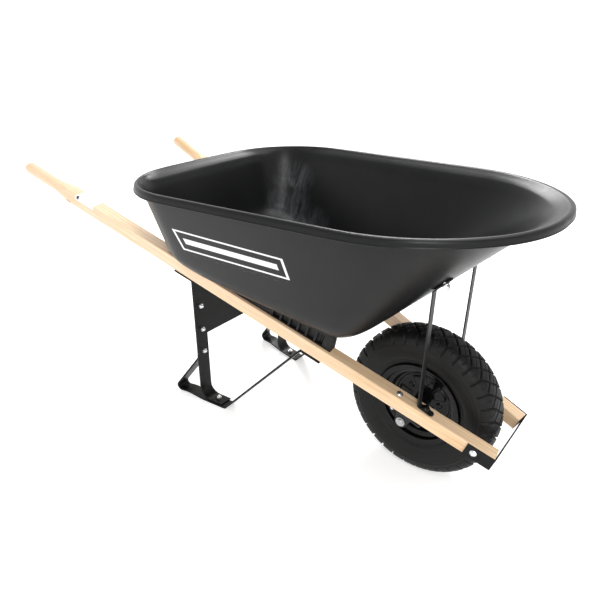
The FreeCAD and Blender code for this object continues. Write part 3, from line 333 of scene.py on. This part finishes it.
def moulded_black(name, level=0.008):
    s = Shader(name, (level, level, level), 0.5)
    s.set("Specular IOR Level", 0.3)
    s.roughness(s.span(s.noise(50.0, 5.0), 0.3, 0.7, 0.4, 0.6))
    s.bump(s.noise(800.0, 2.0), 0.2, 0.0003)
    return s.material


def printed(name, colour, roughness=0.45):
    s = Shader(name, colour, roughness)
    worn = s.noise(240.0, 6.0, 0.7)
    dark = tuple(c * 0.82 for c in colour)
    s.colour(s.ramp(worn, [(0.34, dark), (0.46, colour)]))
    s.bump(s.noise(500.0, 2.0), 0.1, 0.0002)
    return s.material


TRAY = tray_plastic()
COAT = powder_coat()
BRACE = brace_steel()
RIM = gloss_black("rim_paint")
BLACK_BOLT = gloss_black("black_bolt", 0.16)
RUBBER = tyre_rubber()
ZINC = zinc()
AXLE = dull_steel("axle_steel", 0.42)
RISER = moulded_black("riser_plastic", 0.004)
BRACKET = moulded_black("bracket_iron", 0.012)
CAP = moulded_black("cap_plastic", 0.012)
PRINT = printed("decal_white", (0.80, 0.80, 0.80))
LABEL = printed("label_white", (0.86, 0.87, 0.88), 0.35)
LABEL_INK = printed("label_ink", (0.02, 0.02, 0.03), 0.5)
LABEL_GREY = printed("label_grey", (0.45, 0.47, 0.5), 0.5)
SCRATCH = printed("scratch_grey", (0.10, 0.10, 0.105), 0.6)


# ---------------------------------------------------------------- tray

tray_low, tray_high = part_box("tray")
REAR_X = tray_low.x + 0.0218
FRONT_X = tray_high.x - 0.0381
RIM_LIFT = tray_high.z - 0.7566
REAR_RIM = 0.6617 + RIM_LIFT
FRONT_RIM = 0.7534 + RIM_LIFT
HALF = 0.3564
FRONT_HALF = 0.3170
INSET = 0.0363
SIDE_BOW, FRONT_BOW, REAR_BOW = 0.0021, 0.0316, 0.0155
WALL_TOP_DROP = 0.020
FLOOR_TURN_UP, FLOOR_TURN_IN = 0.18, 0.125
ARC = 30
LINE = 26
WALL = 0.004


def rounded_plan(rear_x, front_x, rear_half, front_half, rear_corner, front_corner):
    corners = np.array([(rear_x, -rear_half), (front_x, -front_half),
                        (front_x, front_half), (rear_x, rear_half)])
    radii = (rear_corner, front_corner, front_corner, rear_corner)
    arcs = []
    for i in range(4):
        back = unit(corners[i - 1] - corners[i])
        ahead = unit(corners[(i + 1) % 4] - corners[i])
        half = math.acos(back @ ahead) / 2
        centre = corners[i] + unit(back + ahead) * radii[i] / math.sin(half)
        first = corners[i] + back * radii[i] / math.tan(half) - centre
        t = np.linspace(0, math.pi - 2 * half, ARC)
        arcs.append(centre + np.column_stack([first[0] * np.cos(t) - first[1] * np.sin(t),
                                              first[0] * np.sin(t) + first[1] * np.cos(t)]))
    points = []
    for i in range(4):
        start, end = arcs[i][-1], arcs[(i + 1) % 4][0]
        shares = np.linspace(0, 1, LINE + 2)[1:-1, None]
        points += [arcs[i], start + (end - start) * shares]
    return np.vstack(points)


def bowed(plan):
    along = (plan[:, 0] - (REAR_X + FRONT_X) / 2) / ((FRONT_X - REAR_X) / 2)
    share = np.minimum(1.0, np.abs(plan[:, 1]) / HALF)
    sideways = np.sign(plan[:, 1]) * share ** 2 * SIDE_BOW * (1 - along ** 2)
    lengthways = along ** 2 * np.where(along > 0, FRONT_BOW, -REAR_BOW) * (1 - share ** 2)
    return plan + np.column_stack([lengthways, sideways])


def outset(plan, distance):
    run = np.roll(plan, -1, 0) - np.roll(plan, 1, 0)
    normal = np.column_stack([run[:, 1], -run[:, 0]])
    normal /= np.linalg.norm(normal, axis=1)[:, None]
    return plan + normal * distance


def settled(plan):
    """Even out the spacing's kinks so that offsets stay smooth."""
    for _ in range(6):
        plan = (np.roll(plan, 1, 0) + 2 * plan + np.roll(plan, -1, 0)) / 4
    return plan


RIM_PLAN = settled(bowed(rounded_plan(REAR_X, FRONT_X, HALF, FRONT_HALF, 0.2096, 0.2998)))
WALL_PLAN = settled(bowed(rounded_plan(REAR_X, FRONT_X, HALF, FRONT_HALF, 0.1545, 0.2998)))
FLOOR_PLAN = settled(rounded_plan(-0.2178, 0.3425, 0.2567, 0.1714, 0.0851, 0.048))
MEET_X = -0.0664
FLOOR_SLOPE = math.tan(math.radians(8.09))
MIDDLE = np.array([0.079, 0.0])


def rail_top(x):
    return NOSE_TOP + (NOSE_X - x) * math.tan(RAIL_SLOPE)


def floor_z(x):
    ahead = rail_top(MEET_X) + (MEET_X - x) * FLOOR_SLOPE
    behind = rail_top(x)
    return (ahead + behind + np.sqrt((ahead - behind) ** 2 + 0.004 ** 2)) / 2 - 0.0004


def rim_z(x):
    return REAR_RIM + (FRONT_RIM - REAR_RIM) * (x - REAR_X) / (FRONT_X - REAR_X)


def rim_ring(outward, up):
    """Ring beside the rim's crest; inside it, rings run over to the top of the wall."""
    if outward < 0:
        plan = RIM_PLAN + (outset(WALL_PLAN, -INSET) - RIM_PLAN) * (-outward / INSET)
    else:
        plan = outset(RIM_PLAN, outward)
    return np.column_stack([plan, rim_z(plan[:, 0]) + up])


def wall_rings(inward):
    """Rings from the middle of the floor to the top of the wall."""
    top_plan = outset(WALL_PLAN, -INSET - inward)
    tops = np.column_stack([top_plan, rim_z(top_plan[:, 0]) - WALL_TOP_DROP])
    plan = outset(FLOOR_PLAN, -inward)
    feet = np.column_stack([plan, floor_z(plan[:, 0]) + inward])
    starts = tops + (feet - tops) * (1 - FLOOR_TURN_UP)
    turned = plan + (MIDDLE - plan) * FLOOR_TURN_IN
    ends = np.column_stack([turned, floor_z(turned[:, 0]) + inward])
    rings = []
    for share in (0.02, 0.2, 0.4, 0.6, 0.8, 0.93):
        spread = MIDDLE + (turned - MIDDLE) * share
        rings.append(np.column_stack([spread, floor_z(spread[:, 0]) + inward]))
    for t in np.linspace(1, 0, 14):
        rings.append(starts * (1 - t) ** 2 + feet * 2 * t * (1 - t) + ends * t ** 2)
    for t in np.linspace(0, 1, 12)[1:-1]:
        rings.append(starts + (tops - starts) * t)
    return rings


def make_tray():
    lip_outside = [(-0.0358, -0.0190), (-0.0320, -0.0162), (-0.0270, -0.0125), (-0.0190, -0.0090),
                   (-0.0120, -0.0062), (-0.0060, -0.0046), (-0.0010, -0.0040), (0.0020, -0.0052),
                   (0.0035, -0.0080), (0.0040, -0.0120), (0.0044, -0.0160), (0.0052, -0.0172),
                   (0.0072, -0.0174), (0.0079, -0.0167), (0.0079, -0.0156), (0.0070, -0.0149),
                   (0.0066, -0.0138), (0.0065, -0.0105), (0.0062, -0.0070), (0.0050, -0.0034),
                   (0.0025, -0.0010), (-0.0010, 0.0000), (-0.0050, -0.0001), (-0.0090, -0.0012),
                   (-0.0120, -0.0029), (-0.0160, -0.0052), (-0.0220, -0.0082), (-0.0280, -0.0112),
                   (-0.0330, -0.0146), (-0.0380, -0.0180)]
    rings = wall_rings(0.0)
    rings += [rim_ring(outward, up) for outward, up in lip_outside]
    rings += list(reversed(wall_rings(WALL)))
    count = len(RIM_PLAN)
    verts = np.vstack(rings)
    faces = [tuple(reversed(f)) for f in ring_faces(len(rings), count)]
    faces.append(tuple(range(count)))
    faces.append(tuple(reversed(range(len(verts) - count, len(verts)))))
    tray = make_piece("tray_shell", verts, faces, TRAY, "frame")
    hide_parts("tray")
    return tray


tray_shell = make_tray()


# ---------------------------------------------------------------- decal on the tray's right wall

tray_tree = BVHTree.FromObject(tray_shell, bpy.context.evaluated_depsgraph_get())
DECAL_REAR = Vector((-0.106, 0.0, 0.576))
DECAL_FRONT = Vector((0.2265, 0.0, 0.594))
DECAL_DROP = 0.057


def on_right_wall(x, z, lift):
    """Point just off the outside of the tray's right wall."""
    hit, normal, _, _ = tray_tree.ray_cast(Vector((x, -0.6, z)), Vector((0, 1, 0)))
    return hit + normal * (lift if normal.y < 0 else -lift)


def decal_point(u, v, lift=0.00035):
    """u runs forward along the decal, v down it."""
    slant = (0.016 - 0.009 * u) * v
    x = DECAL_REAR.x + (DECAL_FRONT.x - DECAL_REAR.x) * u + slant
    z = DECAL_REAR.z + (DECAL_FRONT.z - DECAL_REAR.z) * u - DECAL_DROP * v
    return on_right_wall(x, z, lift)


def make_decal(name, quads, material, lift=0.00035):
    """Thin printed quads; each is (u, v) corners in order round the quad."""
    verts, faces = [], []
    for (ax, ay), (bx, by), (cx, cy), (dx, dy) in quads:
        columns = max(1, int(abs(bx - ax) * 60))
        rows = max(1, int(abs(dy - ay) * 8))
        base = len(verts)
        for j in range(rows + 1):
            for i in range(columns + 1):
                s, t = i / columns, j / rows
                u = (ax * (1 - s) + bx * s) * (1 - t) + (dx * (1 - s) + cx * s) * t
                v = (ay * (1 - s) + by * s) * (1 - t) + (dy * (1 - s) + cy * s) * t
                verts.append(decal_point(u, v, lift))
        for j in range(rows):
            for i in range(columns):
                a = base + j * (columns + 1) + i
                faces.append((a, a + columns + 1, a + columns + 2, a + 1))
    piece = make_piece(name, verts, faces, material, "frame")


def bar(left, right, high, low, lean=0.0):
    return (left, high), (right, high), (right - lean, low), (left - lean, low)


# a plain border round one plain stripe
frame_quads = [bar(0.0, 1.0, 0.0, 0.085), bar(0.0, 1.0, 0.915, 1.0), bar(0.0, 0.022, 0.085, 0.915),
               bar(0.978, 1.0, 0.085, 0.915), bar(0.07, 0.93, 0.36, 0.64)]
make_decal("decal_print", frame_quads, PRINT)

scratches = []
for k in range(26):
    u = rng.uniform(0.05, 0.98)
    v = rng.uniform(1.03, 1.22)
    right_end = u + rng.uniform(0.010, 0.045)
    bottom = v + rng.uniform(0.006, 0.014)
    scratches.append(bar(u, right_end, v, bottom, rng.uniform(-0.03, 0.0)))
make_decal("tray_scratches", scratches, SCRATCH, 0.00025)


# ---------------------------------------------------------------- blank paper label on the right handle

def handle_point(side, back, out, up):
    """Point on a handle: distance back from its nose, outward and up from its centre line."""
    inward = -side * (RAIL_HALF_WIDE - out)
    turn = -side * RAIL_TOE
    x = -back * math.cos(turn) - inward * math.sin(turn)
    y = -back * math.sin(turn) + inward * math.cos(turn) + side * NOSE_HALF
    z = up - RAIL_HALF_TALL
    return Vector((NOSE_X + x * math.cos(RAIL_SLOPE) + z * math.sin(RAIL_SLOPE), y,
                   NOSE_TOP - x * math.sin(RAIL_SLOPE) + z * math.cos(RAIL_SLOPE)))


def handle_patch(name, near, far, path, material, lift):
    """Sheet on the right handle between two distances, following (out, up) points round its section."""
    verts, faces = [], []
    for back in np.linspace(near, far, 5):
        for out, up, nx, nz in path:
            verts.append(handle_point(-1, back, out + nx * lift, up + nz * lift))
    columns = len(path)
    for i in range(4):
        for j in range(columns - 1):
            a = i * columns + j
            faces.append((a, a + 1, a + columns + 1, a + columns))
    piece = make_piece(name, verts, faces, material, "frame")


def wrap(inner, drop):
    """Section path over the top face, round the edge and down the outer face."""
    edge_out = RAIL_HALF_WIDE - RAIL_EDGE
    edge_up = RAIL_HALF_TALL - RAIL_EDGE
    path = [(out, RAIL_HALF_TALL, 0.0, 1.0) for out in np.linspace(inner, edge_out, 6)]
    for turn in np.linspace(0.3, math.pi / 2, 5):
        across, up = math.sin(turn), math.cos(turn)
        path.append((edge_out + RAIL_EDGE * across, edge_up + RAIL_EDGE * up, across, up))
    path += [(RAIL_HALF_WIDE, edge_up - down, 1.0, 0.0) for down in np.linspace(0.002, drop, 3)]
    return path


handle_patch("label_sheet", 1.243, 1.312, wrap(-0.0150, 0.0095), LABEL, 0.0003)
handle_patch("label_square", 1.299, 1.307, wrap(0.0120, 0.0045)[3:], LABEL_INK, 0.0005)
for k in range(3):
    line_path = [(out, RAIL_HALF_TALL, 0.0, 1.0) for out in np.linspace(-0.012, 0.004 - 0.003 * k, 4)]
    handle_patch("label_line_%d" % k, 1.268 + 0.009 * k, 1.270 + 0.009 * k, line_path, LABEL_GREY, 0.0005)


# ---------------------------------------------------------------- tyre

CROWN = 0.203
PITCHES = 34
PITCH = 2 * math.pi * CROWN / PITCHES
axle_low, axle_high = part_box("axle")
HUB = (axle_low + axle_high) / 2


def turned_verts(radii, offsets, angles):
    """Vertices of a turned grid; radii and offsets are (rows, columns) arrays."""
    x = HUB.x + radii * np.cos(angles)
    z = HUB.z + radii * np.sin(angles)
    return np.stack([x, HUB.y + offsets, z], axis=-1).reshape(-1, 3)


def make_tyre():
    half = np.array([(203.0, 0), (202.7, 12), (201.4, 23), (198.6, 32), (194.2, 39.2), (188.0, 44.6),
                     (179.0, 48.2), (166.0, 50.0), (151.0, 49.8), (137.0, 47.6), (126.0, 43.9),
                     (119.0, 40.6), (115.2, 38.6), (114.3, 37.2)]) / 1000
    outer = np.vstack([half[::-1] * (1, -1), half[1:]])
    run = np.concatenate([[0], np.cumsum(np.linalg.norm(np.diff(outer, axis=0), axis=1))])
    steps = np.linspace(0, run[-1], 210)
    line = np.column_stack([np.interp(steps, run, outer[:, k]) for k in (0, 1)])
    for _ in range(10):
        line[1:-1] = (line[:-2] + 2 * line[1:-1] + line[2:]) / 4
    tangent = np.gradient(line, axis=0)
    normal = np.column_stack([-tangent[:, 1], tangent[:, 0]])
    normal /= np.linalg.norm(normal, axis=1)[:, None]
    normal *= np.sign((normal * (line - (0.150, 0))).sum(1))[:, None]

    columns = PITCHES * 30
    angles = np.linspace(0, 2 * math.pi, columns, endpoint=False)[None, :]
    s = angles * CROWN
    r = line[:, 0:1]
    y = line[:, 1:2]
    reach = (steps - run[-1] / 2)[:, None]
    slope = 0.852
    exit_y = 0.033

    def gap(v):
        return np.abs((v + PITCH / 2) % PITCH - PITCH / 2)

    inside = np.clip(reach, -exit_y, exit_y)
    first = gap(s - slope * inside) / math.hypot(1, slope)
    second = gap(s + slope * inside + PITCH / 2) / math.hypot(1, slope)
    middle = np.minimum(first, second)
    notch = gap(s - slope * inside)
    beyond = np.abs(reach) > exit_y
    distance = np.where(beyond, notch - 0.0006, middle)
    groove = 1 - smoothstep(0.0014, 0.0027, distance)
    fade = 1 - smoothstep(0.058, 0.066, np.abs(reach))
    fold = 1 - smoothstep(0.0004, 0.0012, gap(s - slope * inside + PITCH / 2) / math.hypot(1, slope))
    sipe = fold * (np.abs(reach) < 0.046) * 0.0012
    depth = np.maximum(groove * 0.0052 * fade, sipe)
    side_ring = 0.0010 * np.exp(-((r - 0.168) / 0.0016) ** 2) + 0.0012 * np.exp(-((r - 0.126) / 0.0018) ** 2)
    side_ring += 0.0006 * np.exp(-((r - 0.160) / 0.0012) ** 2)
    side_ring = np.where(np.abs(reach) > 0.05, side_ring, 0.0)
    push = side_ring - depth
    radii = r + normal[:, 0:1] * push
    offsets = y + normal[:, 1:2] * push
    outer_rows = turned_verts(radii, offsets, angles)

    inner = np.array([(114.5, 37.0), (101.4, 36.6), (101.4, 28.4), (114.8, 28.4), (128, 38.5), (150, 43.0),
                      (170, 41.5), (184, 34), (189, 22), (190.5, 0)]) / 1000
    inner = np.vstack([inner, inner[-2::-1] * (1, -1)])
    inner_r = np.repeat(inner[:, 0:1], columns, axis=1)
    inner_y = np.repeat(inner[:, 1:2], columns, axis=1)
    inner_rows = turned_verts(inner_r, inner_y, angles)
    rows = len(line) + len(inner)
    tyre = make_piece("tyre_body", np.vstack([outer_rows, inner_rows]), ring_faces(rows, columns, True),
                      RUBBER, "wheel")
    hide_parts("tyre")


make_tyre()


# ---------------------------------------------------------------- rims

def make_rim(name, side):
    outside = [(21, 4.5), (30, 4.5), (76, 4.5), (80, 6.3), (83.6, 9.8), (84.5, 13), (84.5, 21), (86.5, 24.2),
               (92, 26.8), (97, 28.6), (98.5, 31), (98.5, 38), (100, 40.4), (104, 41.7), (109, 42.4),
               (112.5, 43.4), (114.2, 43.3), (114.6, 42.0)]
    inside = [(113.2, 40.6), (109, 40.0), (104.5, 39.4), (101.6, 38.2), (101, 36), (101, 29), (99.4, 26.8),
              (93, 23.9), (88.5, 21.8), (87, 19.5), (87, 12), (86, 8.6), (82.5, 4.6), (78, 2.2), (30, 2.2),
              (21, 2.2)]
    profile = np.array(outside + inside) / 1000
    closed = np.vstack([profile, profile[:1]])
    run = np.concatenate([[0], np.cumsum(np.linalg.norm(np.diff(closed, axis=0), axis=1))])
    steps = np.linspace(0, run[-1], 240, endpoint=False)
    line = np.column_stack([np.interp(steps, run, closed[:, k]) for k in (0, 1)])
    line = (np.roll(line, 1, 0) + 2 * line + np.roll(line, -1, 0)) / 4
    columns = 360
    angles = np.linspace(0, 2 * math.pi, columns, endpoint=False)[None, :]
    r = line[:, 0:1]
    y = line[:, 1:2]
    bolt_turn = (angles * 5 / (2 * math.pi) + 0.5) % 1 - 0.5
    away = np.abs(bolt_turn) * 2 * math.pi / 5
    between = 1 - smoothstep(0.20, 0.33, math.pi / 5 - away)
    rib = smoothstep(0.030, 0.036, r) * (1 - smoothstep(0.062, 0.070, r))
    lift = 0.0045 * between * rib * (y < 0.012)
    ring = 0.0018 * np.exp(-((r - 0.0725) / 0.0022) ** 2) * (y < 0.012)
    lift = lift + ring
    offsets = side * (y + lift)
    verts = turned_verts(np.repeat(r, columns, axis=1), offsets, angles)
    faces = ring_faces(len(line), columns, True)
    if side > 0:
        faces = [tuple(reversed(f)) for f in faces]
    rim = make_piece("rim_shell_" + name, verts, faces, RIM, "wheel")
    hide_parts("rim_" + name)


make_rim("right", -1)
make_rim("left", 1)


# ---------------------------------------------------------------- threads on the ends of the bolts

def islands(node):
    """Point sets of a node's separate solids."""
    mesh = nodes[node].data
    co = np.array([v.co[:] for v in mesh.vertices])
    _, key = np.unique(np.round(co, 6), axis=0, return_inverse=True)
    key = key.reshape(-1)
    parent = list(range(key.max() + 1))

    def root(i):
        while parent[i] != i:
            parent[i] = parent[parent[i]]
            i = parent[i]
        return i

    for polygon in mesh.polygons:
        ids = [root(key[i]) for i in polygon.vertices]
        for other in ids[1:]:
            parent[root(other)] = root(ids[0])
    groups = {}
    for index, k in enumerate(key):
        groups.setdefault(root(k), []).append(co[index])
    return [np.array(points) for points in groups.values()]


def bolt_axis(points):
    """Tail end and direction from head to tail of a bolt."""
    centre = points.mean(0)
    _, vectors = np.linalg.eigh(np.cov((points - centre).T))
    axis = vectors[:, 2]
    t = (points - centre) @ axis
    away = np.linalg.norm(points - centre - t[:, None] * axis, axis=1)
    if away[t > t.mean()].max() > away[t <= t.mean()].max():
        axis = -axis
        t = -t
    spots = points[away < 0.0045]
    line = spots.mean(0) if len(spots) else centre
    return line + axis * ((points - line) @ axis).max(), axis


def add_threads(node, material, exposed=0.0058):
    radius, pitch, columns = 0.00405, 0.00125, 24
    verts, faces = [], []
    for points in islands(node):
        tip, axis = bolt_axis(points)
        side = unit(np.cross(axis, (0.3, 0.5, 0.8)))
        other = np.cross(axis, side)
        rows = int(exposed / pitch * 8)
        base = len(verts)
        for i in range(rows + 1):
            for j in range(columns):
                turn = 2 * math.pi * j / columns
                down = 0.0009 + exposed * i / rows
                wave = abs(((down / pitch + j / columns) % 1) * 2 - 1)
                r = radius + 0.00040 * wave
                verts.append(tip - axis * down + (side * math.cos(turn) + other * math.sin(turn)) * r)
        faces += [tuple(base + k for k in f) for f in ring_faces(rows + 1, columns)]
    made = make_piece(node + "_thread", verts, faces, material,
                      "wheel" if node.startswith("rim") else "frame")


for fastener in ("strap_bolts", "foot_bolts", "brace_bolts", "nose_bolts", "rim_bolts", "bracket_bolts",
                 "brace_foot_bolts", "front_tray_bolts", "rear_tray_bolts"):
    add_threads(fastener, ZINC)


# ---------------------------------------------------------------- looks of the CAD pieces

LOOKS = {
    "handle_right": handle_wood("right", -1),
    "handle_left": handle_wood("left", 1),
    "riser_right": RISER, "riser_left": RISER,
    "leg_right": COAT, "leg_left": COAT, "leg_cross_plate": COAT,
    "foot_strap_right": COAT, "foot_strap_left": COAT, "nose_strap": COAT,
    "tray_brace_right": BRACE, "tray_brace_left": BRACE,
    "axle_bracket_right": BRACKET, "axle_bracket_left": BRACKET,
    "wheel_hub": RIM, "bearing_right": RIM, "bearing_left": RIM,
    "axle": AXLE, "axle_rings": AXLE, "axle_spacer_right": RIM, "axle_spacer_left": RIM,
    "valve_stem": RUBBER, "inner_tube": RUBBER, "valve_cap": CAP,
    "brace_foot_bolts": BLACK_BOLT, "front_tray_bolts": BLACK_BOLT, "rear_tray_bolts": BLACK_BOLT,
    "rim_bolts": BLACK_BOLT, "rim_nuts": BLACK_BOLT,
}
for name, node in nodes.items():
    if name in ("tray", "tyre", "rim_right", "rim_left"):
        continue
    node.data.materials.clear()
    node.data.materials.append(LOOKS.get(name, ZINC))

BEVELS = {"leg_": 0.0006, "foot_strap": 0.0006, "nose_strap": 0.0005, "tray_brace": 0.0005,
          "axle_bracket": 0.0010, "riser_": 0.0008}
for name, node in nodes.items():
    for start, width in BEVELS.items():
        if name.startswith(start):
            bevel = node.modifiers.new("edge", "BEVEL")
            bevel.width = width
            bevel.segments = 2
            bevel.limit_method = "ANGLE"
            bevel.angle_limit = math.radians(40)


# ---------------------------------------------------------------- stage, lights, camera

def make_floor():
    """Pale floor that sweeps up into a backdrop all round."""
    s = Shader("floor_white", (0.93, 0.93, 0.93), 0.9)
    s.set("Specular IOR Level", 0.0)
    s.set("Emission Color", (1.0, 1.0, 1.0, 1.0))
    s.set("Emission Strength", 0.42)
    flat, sweep, columns = 7.0, 5.0, 96
    rings = [(flat * share, 0.0) for share in (0.1, 0.4, 0.8, 1.0)]
    rings += [(flat + sweep * math.sin(turn), sweep * (1 - math.cos(turn)))
              for turn in np.linspace(0, math.pi / 2, 16)[1:]]
    verts = [(r * math.cos(t), r * math.sin(t), z - 0.0004)
             for r, z in rings for t in np.linspace(0, 2 * math.pi, columns, endpoint=False)]
    faces = [tuple(reversed(f)) for f in ring_faces(len(rings), columns)] + [tuple(range(columns))]
    floor = make_piece("studio_floor", verts, faces, s.material, None)


def area_light(name, location, target, size, energy, size_y=None):
    data = bpy.data.lights.new(name, "AREA")
    data.shape = "RECTANGLE"
    data.size = size
    data.size_y = size_y or size
    data.energy = energy
    light = bpy.data.objects.new(name, data)
    scene.collection.objects.link(light)
    light.location = location
    light.rotation_mode = "QUATERNION"
    light.rotation_quaternion = (Vector(target) - Vector(location)).to_track_quat("-Z", "Y")


make_floor()
world = bpy.data.worlds.new("studio")
scene.world = world
world.use_nodes = True
background = world.node_tree.nodes["Background"]
background.inputs["Color"].default_value = (1.0, 1.0, 1.0, 1.0)
background.inputs["Strength"].default_value = 0.62
area_light("key_top", (0.3, 0.4, 2.6), (0.2, 0.0, 0.3), 2.0, 42.0)
area_light("fill_front", (2.2, -2.2, 1.6), (0.2, 0.0, 0.3), 1.6, 16.0)
area_light("back_strip", (-1.3, 2.6, 2.5), (0.1, 0.0, 0.5), 1.3, 55.0, 0.8)
area_light("front_strip", (1.25, -1.35, 1.75), (-0.2, 0.2, 0.5), 0.3, 11.0, 0.9)

CAMERA_AT = Vector((0.9450, -1.16493, 1.10995))
AZIMUTH, ELEVATION, ROLL = (math.radians(a) for a in (34.0326, 27.8964, 4.4481))
back = Vector((math.sin(AZIMUTH) * math.cos(ELEVATION), -math.cos(AZIMUTH) * math.cos(ELEVATION),
               math.sin(ELEVATION)))
level = (-back).cross(Vector((0, 0, 1))).normalized()
upright = level.cross(-back)
right = level * math.cos(ROLL) + upright * math.sin(ROLL)
top = upright * math.cos(ROLL) - level * math.sin(ROLL)
camera_data = bpy.data.cameras.new("camera")
camera_data.lens = 34.763
camera_data.sensor_width = 36.0
camera_data.shift_x = -22.0 / 600
camera_data.shift_y = -0.66 / 600
camera = bpy.data.objects.new("camera", camera_data)
scene.collection.objects.link(camera)
turned = Matrix((right, top, back)).transposed().to_4x4()
camera.matrix_world = Matrix.Translation(CAMERA_AT) @ turned
scene.camera = camera
scene.view_settings.view_transform = "Standard"
